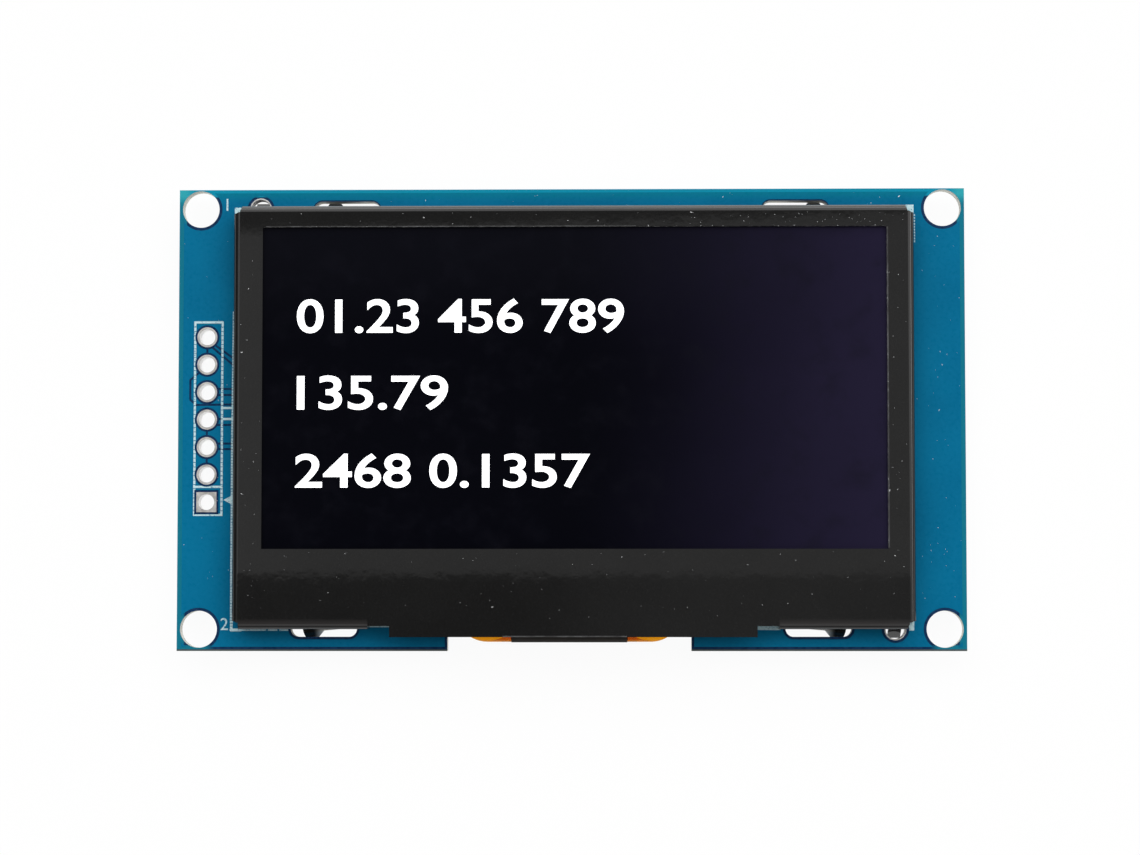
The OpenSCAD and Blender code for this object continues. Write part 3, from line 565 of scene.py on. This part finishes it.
def finish_nodes():
    """Gives each CAD node its finish, and a further one on bores, cut edges and rubbed bends."""
    for name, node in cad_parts.items():
        by_name = [finish for part, finish in NAME_FINISHES.items() if part in name]
        finish = FINISHES.get(name) or (by_name[0] if by_name else None)
        node.data.materials.clear()
        if finish:
            node.data.materials.append(finish)
    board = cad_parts["circuit_board"].data
    board.materials.append(MASK_BARE)
    board.materials.append(LAMINATE)
    plated = [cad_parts[name].data for name in ("header_plating", "leg_hole_plating")]
    for mesh in plated:
        mesh.materials.append(BORE_REFLECTION)
    for mesh in (board, *plated):
        for face in mesh.polygons:
            face.material_index = 0 if abs(face.normal.z) > FACING else 1
    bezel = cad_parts["bezel"].data
    for finish in (PAINT, EDGE, RUBBED):
        bezel.materials.append(finish)
    for face in bezel.polygons:
        x, y, z = face.center / MM
        lean = face.normal
        right_edge = abs(x - WINDOW_RIGHT) < AT_RIM and lean.x < -FACING
        top_edge = abs(y - WINDOW_TOP) < AT_RIM and lean.y < -FACING
        on_bend = z > BEND_Z and BEND_LEAST_Z < lean.z < BEND_MOST_Z
        top_bend = on_bend and y > BEND_TOP_Y and lean.y > TOP_RUB_LEAST_Y
        right_bend = on_bend and x > BEND_RIGHT_X and RIGHT_RUB_LEAST_X < lean.x < RIGHT_RUB_MOST_X
        if right_edge or top_edge:
            face.material_index = EDGE_SLOT
        elif top_bend or right_bend:
            face.material_index = RUBBED_SLOT
        else:
            face.material_index = PAINT_SLOT


# Board

# How far copper stays from the board's edges and openings
POUR_INSET_SIDE = 0.42
POUR_INSET_TOP = 0.3
POUR_INSET_BOTTOM = 0.38
POUR_CORNER = 0.8
CLEARANCE = 0.24
TOP_SLOT_CLEARANCE = 0.12
PAD_CLEARANCE = 0.2
MOUNT_CLEARANCE = 0.27
GAP_W = 0.2


def hole_clearances(leg_ring_r):
    """Outlines of the openings that copper keeps away from; the leg holes have rings of that radius."""
    cuts = []
    for x in (-MOUNT_HOLE_X, MOUNT_HOLE_X):
        for y in (MOUNT_HOLE_TOP_Y, MOUNT_HOLE_BOTTOM_Y):
            cuts.append(circle(x, y, MOUNT_HOLE_R + MOUNT_CLEARANCE))
    for x, y in SLOTS:
        wider = 2 * (CLEARANCE if y < 0 else TOP_SLOT_CLEARANCE)
        cuts.append(rounded_slot(x, y, SLOT_L + wider, SLOT_W + wider))
    cuts += [circle(x, y, leg_ring_r + CLEARANCE) for x, y in LEG_HOLES]
    reach = PAD_R + PAD_CLEARANCE
    cuts += [circle(HEADER_X, y, reach) for y in PIN_Y[:-1]]
    first = PIN_Y[-1]
    cuts.append(rectangle(HEADER_X - reach, first - reach, HEADER_X + reach, first + reach))
    return cuts


def pour_outline():
    """Outline of a copper area: inset from the board's edges and notch, with cut upper corners."""
    side = BOARD_HIGH.x - POUR_INSET_SIDE
    top = BOARD_HIGH.y - POUR_INSET_TOP
    bottom = BOARD_LOW.y + POUR_INSET_BOTTOM
    left, right = FLEX_X - NOTCH_HALF_W - CLEARANCE, FLEX_X + NOTCH_HALF_W + CLEARANCE
    shelf = NOTCH_Y + POUR_INSET_BOTTOM
    return [
        (-side, bottom), (left, bottom), (left, shelf), (right, shelf),
        (right, bottom), (side, bottom), (side, top - POUR_CORNER), (side - POUR_CORNER, top),
        (POUR_CORNER - side, top), (-side, top - POUR_CORNER),
    ]


# What the bezel hides of the board; its corner reliefs and the gap in its lower wall stay open
RELIEF = 0.75
COVERED = [
    rectangle(BEZEL_LOW.x, BEZEL_BOTTOM_Y + RELIEF, BEZEL_HIGH.x, BEZEL_TOP_Y - RELIEF),
    rectangle(BEZEL_LOW.x + RELIEF, 0, BEZEL_HIGH.x - RELIEF, BEZEL_TOP_Y),
    rectangle(BEZEL_LOW.x + RELIEF, BEZEL_BOTTOM_Y, BEZEL_X - LOWER_GAP_HALF_W, 0),
    rectangle(BEZEL_X + LOWER_GAP_HALF_W, BEZEL_BOTTOM_Y, BEZEL_HIGH.x - RELIEF, 0),
]

# Bare gaps that set off the traces of the header on the front, from the pads to under the bezel
UNDER_BEZEL_X = BEZEL_LOW.x + 2
FRONT_GAPS = [
    [(-32.95, 6.95), (-31.1, 5.6), (UNDER_BEZEL_X, 5.6)],
    [(-33.15, 6.7), (-31.2, 5.05), (UNDER_BEZEL_X, 5.05)],
    [(-34.4, 4.3), (-35.15, 3.65), (-35.15, 1.85), (-34.6, 1.35), (UNDER_BEZEL_X, 1.42)],
]
for gap_y in (2.83, 2.27, 0.06, -0.5, -2.22, -2.73):
    FRONT_GAPS.append([(HEADER_X, gap_y), (UNDER_BEZEL_X, gap_y)])
for pin in (0, 3, 4):
    FRONT_GAPS.append([(HEADER_X, PIN_Y[pin]), (HEADER_X, PIN_Y[pin + 1])])


def front_pour():
    """Copper under the solder mask round the bezel, with bare gaps beside the traces."""
    cuts = hole_clearances(LEG_RING_R) + COVERED
    for gap in FRONT_GAPS:
        cuts += stroke(gap, GAP_W)
    plate("front_copper_pour", MASK, [pour_outline()], cuts, BOARD_HIGH.z, POUR_TOP)


# Silk on the front: the header's box with its first-pin mark, and what shows of the bezel's outline
SILK_W = 0.2
HEADER_BOX = (-34.72, -8.79, -32.2, 9.0)
FIRST_PIN_Y = -6.21
FIRST_PIN_MARK = [(-32.03, -7.42), (-31.2, -7.85), (-31.2, -6.99)]
HEADER_BARS_Y = (1.07, 0.05)
HEADER_BAR_X = (-32.15, -31.2)
BEZEL_LEFT = [(-31.12, 10.0), (-31.22, -2.0), (-31.22, -19.3)]
BEZEL_LEFT_W = 0.25
BEZEL_RIGHT = [(31.67, 16.3), (31.67, 19.0)]
BEZEL_FOOT = [(-31.37, -19.35), (-28.9, -19.35), (-19.5, -19.35)]
SILK_PATCHES = [
    (-31.13, 19.1, -30.3, 19.66), (30.75, 19.0, 31.6, 19.78), (30.9, -19.42, 31.42, -18.3),
    (16.9, -19.38, 19.2, -18.95), (-19.0, -19.12, -16.3, -18.98), (-31.32, -19.5, -30.3, -19.24),
]
FRONT_MARKS = [("1", -31.9, 19.38), ("2", -32.22, -19.38)]
MARK_H = 1.1

# Broken lines of the silk: step, and share of it that is printed
HEADER_DASH = (0.4, 0.86)
BEZEL_LEFT_DASH = (0.26, 0.8)
BEZEL_RIGHT_DASH = (0.26, 0.6)
BEZEL_FOOT_DASH = (1.1, 0.85)


def front_silk():
    """Prints the header's box and marks, and the outline that the bezel sits in."""
    left, bottom, right, top = HEADER_BOX
    keep = []
    for y in (bottom, FIRST_PIN_Y, top):
        keep += stroke([(left - SILK_W / 2, y), (right + SILK_W / 2, y)], SILK_W)
    for x in (left, right):
        keep += dashes((x, bottom), (x, top), SILK_W, *HEADER_DASH)
    keep.append(FIRST_PIN_MARK)
    for y in HEADER_BARS_Y:
        keep += stroke([(x, y) for x in HEADER_BAR_X], SILK_W)
    keep += stroke(BEZEL_FOOT[:2], SILK_W)
    keep += dashes(*BEZEL_FOOT[1:], SILK_W, *BEZEL_FOOT_DASH)
    for start, end in zip(BEZEL_LEFT, BEZEL_LEFT[1:]):
        keep += dashes(start, end, BEZEL_LEFT_W, *BEZEL_LEFT_DASH)
    keep += dashes(*BEZEL_RIGHT, SILK_W / 2, *BEZEL_RIGHT_DASH)
    keep += [rectangle(*patch) for patch in SILK_PATCHES]
    cuts = hole_clearances(LEG_RING_R) + COVERED
    plate("front_silk", SILK, keep, cuts, POUR_TOP, POUR_TOP + SILK_T)
    bm = bmesh.new()
    for text, x, y in FRONT_MARKS:
        add_digits(bm, text, x, y, MARK_H, POUR_TOP, SILK_T)
    piece("front_marks", bm, SILK)


# Back of the board

SAME_VERT = 0.001


def islands(node):
    """Lowest and highest corner of each separate solid of a CAD node, in millimetres."""
    bm = bmesh.new()
    bm.from_mesh(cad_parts[node].data)
    bmesh.ops.remove_doubles(bm, verts=bm.verts, dist=SAME_VERT * MM)
    boxes, waiting = [], set(bm.verts)
    while waiting:
        reached, group = [waiting.pop()], []
        while reached:
            vert = reached.pop()
            group.append(vert.co / MM)
            near = {edge.other_vert(vert) for edge in vert.link_edges} & waiting
            waiting -= near
            reached += near
        boxes.append((Vector(map(min, zip(*group))), Vector(map(max, zip(*group)))))
    bm.free()
    return sorted(boxes, key=lambda box: tuple(box[0]))


def grown(low, high, by_x, by_y):
    """Corners of the rectangle under a box, enlarged on each side."""
    return low.x - by_x, low.y - by_y, high.x + by_x, high.y + by_y


# Traces on the back: from the header to the resistors beside it, and on to the flex cable
TAIL_END_Y = FLEX_HIGH.y
BACK_TRACES = [
    [(-32.6, 2.54), (-28.5, 2.54), (-27.84, 3.2), (-26.4, 3.2)],
    [(-32.6, 0.0), (-28.4, 0.0), (-27.4, 1.0), (-26.4, 1.0)],
    [(-32.6, -2.54), (-28.8, -2.54), (-27.46, -1.2), (-26.4, -1.2)],
    [(-32.6, -5.08), (-30.2, -5.08), (-28.0, -10.6), (-12.6, -10.6), (-12.0, -11.2), (-7.0, -11.2)],
    [(-23.6, 1.0), (-13.6, 1.0), (-3.4, -8.6), (-3.4, TAIL_END_Y)],
    [(-23.6, -1.2), (-14.2, -1.2), (-5.4, -8.9), (-5.4, TAIL_END_Y)],
    [(-32.6, 5.08), (-30.0, 7.4), (6.0, 7.4), (6.0, -3.0), (1.4, -8.2), (1.4, TAIL_END_Y)],
]
TRACE_HALF_W = 0.3
TAIL_HALF_W = 6.3
VIA_R, VIA_HOLE_R = 0.3, 0.14
VIAS = [
    (-29.6, 7.4), (-22.0, 3.4), (-18.2, 5.2), (-12.0, 4.4), (-6.2, 4.4), (-1.4, 3.8),
    (3.4, 4.6), (9.6, 2.4), (14.8, 0.8), (20.6, -3.2), (22.8, -8.6), (20.8, -13.4),
    (14.6, -14.8), (-14.4, -14.6), (-22.6, -12.6), (-27.4, -13.8), (28.4, 9.6), (29.2, 2.2),
    (28.8, -6.4), (24.2, 13.2), (12.4, 13.6), (-2.2, 13.4), (-14.6, 12.8),
]


def back_pour():
    """Copper on the back, kept clear of lands and the flex cable's tail, with traces and vias."""
    cuts = hole_clearances(LEG_PAD_R)
    lands = islands("board_lands")
    cuts += [rectangle(*grown(low, high, CLEARANCE, CLEARANCE)) for low, high in lands]
    cuts.append(rectangle(FLEX_X - TAIL_HALF_W, BOARD_LOW.y, FLEX_X + TAIL_HALF_W, TAIL_END_Y))
    for trace in BACK_TRACES:
        for side in (-TRACE_HALF_W, TRACE_HALF_W):
            cuts += stroke([(x, y + side) for x, y in trace], GAP_W)
    plate("back_copper_pour", MASK, [pour_outline()], cuts, POUR_BOTTOM, BOARD_LOW.z)
    rings = [circle(x, y, VIA_R, steps=20) for x, y in VIAS]
    bores = [circle(x, y, VIA_HOLE_R, steps=12) for x, y in VIAS]
    plate("back_vias", TIN, rings, bores, BACK_SILK_Z, POUR_BOTTOM)


PACKAGES = ("boost_converter", "voltage_regulator", "rectifier_diode", "inductor_core")
SILK_LINE_W = 0.15
SMALL_MARK_H = 0.8
PACKAGE_FRAME_REACH = 1.25
PIN_MARK_X = HEADER_X + 2.4
HEADER_FRAME = (HEADER_X - 1.3, PIN_Y[-1] - 1.3, HEADER_X + 1.3, PIN_Y[0] + 1.3)
TAIL_FRAME = (FLEX_X - TAIL_HALF_W - 0.4, NOTCH_Y + 0.6, FLEX_X + TAIL_HALF_W + 0.4, TAIL_END_Y + 0.5)
CHIP_LINE_OFF, CHIP_LINE_PAST = 0.35, 0.1
UPRIGHT_NUMBER_OFF = (0.5, -0.4)
LEVEL_NUMBER_OFF = (-0.2, 0.3)
LAND_MARGIN = 0.05


def chip_silk(name):
    """Two lines beside a chip, and the place of its number past their end."""
    low, high = box_mm(name)
    if high.y - low.y > high.x - low.x:
        x0, y0, x1, y1 = grown(low, high, CHIP_LINE_OFF, CHIP_LINE_PAST)
        lines = [[(x, y0), (x, y1)] for x in (x0, x1)]
        off_x, off_y = UPRIGHT_NUMBER_OFF
    else:
        x0, y0, x1, y1 = grown(low, high, CHIP_LINE_PAST, CHIP_LINE_OFF)
        lines = [[(x0, y), (x1, y)] for y in (y0, y1)]
        off_x, off_y = LEVEL_NUMBER_OFF
    return lines, (x1 + off_x, y1 + off_y)


def back_silk():
    """Lines beside the chips, frames round the larger parts, and plain numbers."""
    keep = frame_strokes(*HEADER_FRAME, SILK_LINE_W) + frame_strokes(*TAIL_FRAME, SILK_LINE_W)
    bm = bmesh.new()
    chips = [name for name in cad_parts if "_capacitor" in name or "_resistor" in name]
    for number, name in enumerate(sorted(chips), 1):
        lines, (x, y) = chip_silk(name)
        for line in lines:
            keep += stroke(line, SILK_LINE_W)
        add_digits(bm, str(number), x, y, SMALL_MARK_H, BACK_SILK_Z, SILK_T, mirrored=True)
    for name in PACKAGES:
        corners = grown(*box_mm(name), PACKAGE_FRAME_REACH, PACKAGE_FRAME_REACH)
        keep += frame_strokes(*corners, SILK_LINE_W)
    for number, pin_y in enumerate(reversed(PIN_Y), 1):
        y = pin_y - MARK_H / 2
        add_digits(bm, str(number), PIN_MARK_X, y, MARK_H, BACK_SILK_Z, SILK_T, mirrored=True)
    lands = islands("board_lands")
    cuts = [rectangle(*grown(low, high, LAND_MARGIN, LAND_MARGIN)) for low, high in lands]
    plate("back_silk", SILK, keep, cuts, BACK_SILK_Z, POUR_BOTTOM)
    piece("back_marks", bm, SILK)


BAND_X = (0.3, 0.65)
BAND_INSET = 0.12
BAND_T = 0.01


def diode_band():
    """Printed band at one end of the diode."""
    low, high = box_mm("rectifier_diode")
    left, right = (low.x + x for x in BAND_X)
    band = rectangle(left, low.y + BAND_INSET, right, high.y - BAND_INSET)
    plate("diode_band", SILK, [band], [], low.z - BAND_T, low.z)


# Screen

DIGIT_H = 3.18
DIGIT_LIFT = 0.01
DIGIT_WEIGHT = 0.014
DIGIT_DEPTH = 0.002
DIGIT_CURVE_STEPS = 6
# Rows of digits: text, left and right end, foot
DIGIT_ROWS = [
    ("01.23 456 789", -25.07, 4.9, 7.73),
    ("135.79", -25.04, -11.19, 0.69),
    ("2468 0.1357", -25.18, 1.78, -6.45),
]


def digit_mesh(text, weight):
    """Flat mesh of a row of digits in the built-in typeface, made bolder by weight."""
    curve = bpy.data.curves.new("digits", "FONT")
    curve.body = text
    curve.offset = weight
    curve.extrude = DIGIT_DEPTH
    curve.resolution_u = DIGIT_CURVE_STEPS
    source = bpy.data.objects.new("digits", curve)
    bpy.context.scene.collection.objects.link(source)
    bpy.context.view_layer.update()
    seen = source.evaluated_get(bpy.context.evaluated_depsgraph_get())
    mesh = bpy.data.meshes.new_from_object(seen)
    bpy.data.objects.remove(source)
    return mesh


def add_digits(bm, text, x, y, height, z, lift, width=None, weight=0.0, mirrored=False):
    """Adds a row of digits from its lower left corner, as wide as given or in the typeface's own width."""
    mesh = digit_mesh(text, weight)
    xs = [v.co.x for v in mesh.vertices]
    ys = [v.co.y for v in mesh.vertices]
    scale_y = height / (max(ys) - min(ys))
    scale_x = width / (max(xs) - min(xs)) if width else scale_y
    for vert in mesh.vertices:
        along = (vert.co.x - min(xs)) * scale_x
        level = z + lift if vert.co.z > 0 else z
        vert.co = (x - along if mirrored else x + along, y + (vert.co.y - min(ys)) * scale_y, level)
    if mirrored:
        mesh.flip_normals()
    bm.from_mesh(mesh)
    bpy.data.meshes.remove(mesh)


def screen_digits():
    """Lit rows of plain digits on the screen."""
    bm = bmesh.new()
    for text, x0, x1, y in DIGIT_ROWS:
        add_digits(bm, text, x0, y, DIGIT_H, SCREEN_Z, DIGIT_LIFT, x1 - x0, DIGIT_WEIGHT)
    piece("screen_digits", bm, LIGHT)


# Pale strips and dust

PALE_STRIP_W = 0.12
PALE_STRIP_T = 0.004
# Pale grey strips on the bezel's face: right side of the window, left part of its top, and edge of the flap
PALE_STRIPS = [
    (WINDOW_RIGHT, WINDOW_BOTTOM + 0.1, WINDOW_RIGHT + PALE_STRIP_W, WINDOW_TOP - 0.1),
    (WINDOW_LEFT + 0.3, WINDOW_TOP, 6.0, WINDOW_TOP + 0.7 * PALE_STRIP_W),
    (FLEX_X - 6.0, FLAP_Y, FLEX_X + 5.3, FLAP_Y + PALE_STRIP_W),
]


def window_wear():
    """Pale grey strips along the rim of the window and along the flap's edge."""
    keep = [rectangle(*strip) for strip in PALE_STRIPS]
    plate("window_wear", PALE_EDGE, keep, [], FACE_Z, FACE_Z + PALE_STRIP_T)


SPECK_CORNERS = 7
SPECK_RAGGED = (0.7, 1.1)
SPECK_RISE = 0.5
ROUND_STRETCH = (1.0, 1.5)
FIBRE_STRETCH = (2.0, 5.0)
FIBRE_SHARE = 0.12


def speck(bm, rng, x, y, z, r):
    """Adds one speck: a low irregular dome, round or drawn out to a short fibre."""
    turn = rng.uniform(0, math.pi)
    stretch = FIBRE_STRETCH if rng.random() < FIBRE_SHARE else ROUND_STRETCH
    long_r = r * rng.uniform(*stretch)
    ring = []
    for i in range(SPECK_CORNERS):
        t = 2 * math.pi * i / SPECK_CORNERS
        a = long_r * math.cos(t) * rng.uniform(*SPECK_RAGGED)
        b = r * math.sin(t) * rng.uniform(*SPECK_RAGGED)
        at_x = x + a * math.cos(turn) - b * math.sin(turn)
        at_y = y + a * math.sin(turn) + b * math.cos(turn)
        ring.append(bm.verts.new((at_x, at_y, z)))
    top = bm.verts.new((x, y, z + SPECK_RISE * r))
    for i in range(SPECK_CORNERS):
        bm.faces.new((ring[i], ring[(i + 1) % SPECK_CORNERS], top))
    bm.faces.new(ring[::-1])


DUST_SEED = 11
DUST_LEAST_R, DUST_MORE_R = 0.013, 0.022
# Fields of dust: x and y of two corners, level, number of specks
DUST_FIELDS = [
    (-28, 17.7, 10, 18.8, FACE_Z, 16), (10, 17.7, 30.6, 18.8, FACE_Z, 44),
    (29.0, -18, 30.6, 17, FACE_Z, 22), (-30.2, -18, -28.4, 18, FACE_Z, 26),
    (-30, -18.4, 30, -12.1, FACE_Z, 70),
    (31.8, -17, 35.8, 17, POUR_TOP, 44), (-35.8, -17, -31.4, 17, POUR_TOP, 22),
    (-18, 19.8, 32, 21, POUR_TOP, 18),
    (28.91, -11.9, 28.99, 17.4, FACE_Z, 30), (-28, 17.51, 28.6, 17.58, FACE_Z, 34),
]


def dust():
    """Specks scattered over the bezel's face, along the window's rim and over the board."""
    rng = random.Random(DUST_SEED)
    bm = bmesh.new()
    for x0, y0, x1, y1, z, count in DUST_FIELDS:
        for _ in range(count):
            r = DUST_LEAST_R + DUST_MORE_R * rng.random() ** 2
            speck(bm, rng, rng.uniform(x0, x1), rng.uniform(y0, y1), z, r)
    piece("dust_specks", bm, DUST)


# Studio

CAMERA_AT = Vector((5.84, -19.02, 302.44))
CAMERA_AIM = Vector((-0.09, -0.77, 3.1))
LENS = 102.9
SENSOR_W = 36.0
CLIP_NEAR_M, CLIP_FAR_M = 0.01, 20.0


def add_camera():
    """Camera of the photo, upright along +Y."""
    data = bpy.data.cameras.new("camera")
    data.lens = LENS
    data.sensor_width = SENSOR_W
    data.sensor_fit = "HORIZONTAL"
    data.clip_start = CLIP_NEAR_M
    data.clip_end = CLIP_FAR_M
    camera = bpy.data.objects.new("camera", data)
    bpy.context.scene.collection.objects.link(camera)
    back = (CAMERA_AT - CAMERA_AIM).normalized()
    right = Vector((0, 1, 0)).cross(back).normalized()
    up = back.cross(right)
    turn = Matrix((right, up, back)).transposed().to_4x4()
    camera.matrix_world = Matrix.Translation(CAMERA_AT * MM) @ turn
    bpy.context.scene.camera = camera


KEY_AT_M = Vector((0.24, 0.28, 0.40))
KEY_SIZE_M = 0.35
KEY_POWER = 0.15


def add_lamp():
    """Soft white lamp from the upper right, aimed at the middle of the part."""
    data = bpy.data.lights.new("key", "AREA")
    data.size = KEY_SIZE_M
    data.energy = KEY_POWER
    lamp = bpy.data.objects.new("key", data)
    lamp.location = KEY_AT_M
    lamp.rotation_euler = (-KEY_AT_M).to_track_quat("-Z", "Y").to_euler()
    bpy.context.scene.collection.objects.link(lamp)


TENT_LEVEL = 2.3
OVERHEAD_LEVEL = 0.58
BELOW_LEVEL = 0.9
LEAST_Z = 0.05


def add_world():
    """White tent with the dimmer areas that the bezel mirrors: overhead, left, front and near the horizon."""
    world = bpy.data.worlds.new("tent")
    bpy.context.scene.world = world
    world.use_nodes = True
    graph = Graph(world.node_tree)
    background = world.node_tree.nodes["Background"]
    split = graph.add("ShaderNodeSeparateXYZ")
    graph.feed(split.inputs[0], graph.add("ShaderNodeTexCoord").outputs["Generated"])
    x, y, z = split.outputs
    upward = graph.maths("MAXIMUM", z, LEAST_Z)
    slope_x = graph.maths("DIVIDE", x, upward)
    slope_y = graph.maths("DIVIDE", y, upward)
    tilted = graph.maths("SUBTRACT", slope_y, graph.product(slope_x, 0.025))
    level_run = graph.maths("SQRT", graph.maths("SUBTRACT", 1.0001, graph.product(z, z)))
    toward_x = graph.maths("DIVIDE", x, level_run)
    toward_y = graph.maths("DIVIDE", y, level_run)
    left = graph.product(graph.fade(toward_x, -0.90, -0.96), graph.fade(z, 0.95, 0.72), 0.90)
    low_left = graph.product(graph.fade(x, -0.4, -0.7), graph.fade(z, 0.5, 0.3), 0.30)
    horizon = graph.product(graph.fade(z, 0.6, 0.25), 0.75)
    front_depth = graph.fade(toward_y, -0.90, -0.96, 0.80, 0.60)
    front = graph.product(graph.fade(y, 0.15, -0.1), graph.fade(z, 0.985, 0.93), front_depth)
    flap_depth = graph.fade(slope_x, -0.04, 0.02, 0.82, 0.48)
    over_flap = graph.product(graph.fade(slope_y, 0.0166, 0.0146), graph.fade(z, 0.85, 0.92), flap_depth)
    over_top = graph.product(graph.fade(tilted, 0.1235, 0.1265), graph.fade(z, 0.94, 0.98), 0.75)
    level = graph.fade(z, 0.93, 0.985, TENT_LEVEL, OVERHEAD_LEVEL)
    for shade in (left, low_left, horizon, front, over_flap, over_top):
        level = graph.product(level, graph.maths("SUBTRACT", 1.0, shade))
    lift = graph.product(graph.fade(slope_x, -0.09, -0.125), graph.fade(z, 0.94, 0.98, 0.0, 0.25))
    level = graph.product(level, graph.maths("ADD", 1.0, lift))
    below = graph.fade(z, 0.02, -0.02)
    above = graph.maths("SUBTRACT", 1.0, below)
    level = graph.maths("ADD", graph.product(below, BELOW_LEVEL), graph.product(level, above))
    graph.feed(background.inputs["Color"], (1.0, 1.0, 1.0))
    graph.feed(background.inputs["Strength"], level)


FLOOR_HALF_M = 3.0
FLOOR_TONE = (0.92, 0.92, 0.92)
FLOOR_GLOW = 0.94


def add_floor():
    """Pale floor that shows white to the camera and in gloss, keeps a shadow, and is clear from below."""
    mesh = bpy.data.meshes.new("floor")
    corners = rectangle(-FLOOR_HALF_M, -FLOOR_HALF_M, FLOOR_HALF_M, FLOOR_HALF_M)
    mesh.from_pydata([(x, y, 0) for x, y in corners], [], [(0, 1, 2, 3)])
    floor = bpy.data.objects.new("floor", mesh)
    bpy.context.scene.collection.objects.link(floor)
    floor.visible_diffuse = False
    floor.visible_shadow = False
    material = bpy.data.materials.new("floor")
    material.use_nodes = True
    material.node_tree.nodes.clear()
    graph = Graph(material.node_tree)
    matt = graph.add("ShaderNodeBsdfDiffuse")
    graph.feed(matt.inputs["Color"], FLOOR_TONE)
    glow = graph.add("ShaderNodeEmission")
    clear = graph.add("ShaderNodeBsdfTransparent")
    lit = graph.add("ShaderNodeMixShader")
    graph.feed(lit.inputs[0], FLOOR_GLOW)
    graph.feed(lit.inputs[1], matt.outputs[0])
    graph.feed(lit.inputs[2], glow.outputs[0])
    sided = graph.add("ShaderNodeMixShader")
    graph.feed(sided.inputs[0], graph.add("ShaderNodeNewGeometry").outputs["Backfacing"])
    graph.feed(sided.inputs[1], lit.outputs[0])
    graph.feed(sided.inputs[2], clear.outputs[0])
    graph.feed(graph.add("ShaderNodeOutputMaterial").inputs[0], sided.outputs[0])
    mesh.materials.append(material)


finish_nodes()
front_pour()
front_silk()
back_pour()
back_silk()
diode_band()
screen_digits()
window_wear()
dust()
add_camera()
add_world()
add_lamp()
add_floor()
bpy.context.scene.view_settings.view_transform = "Standard"
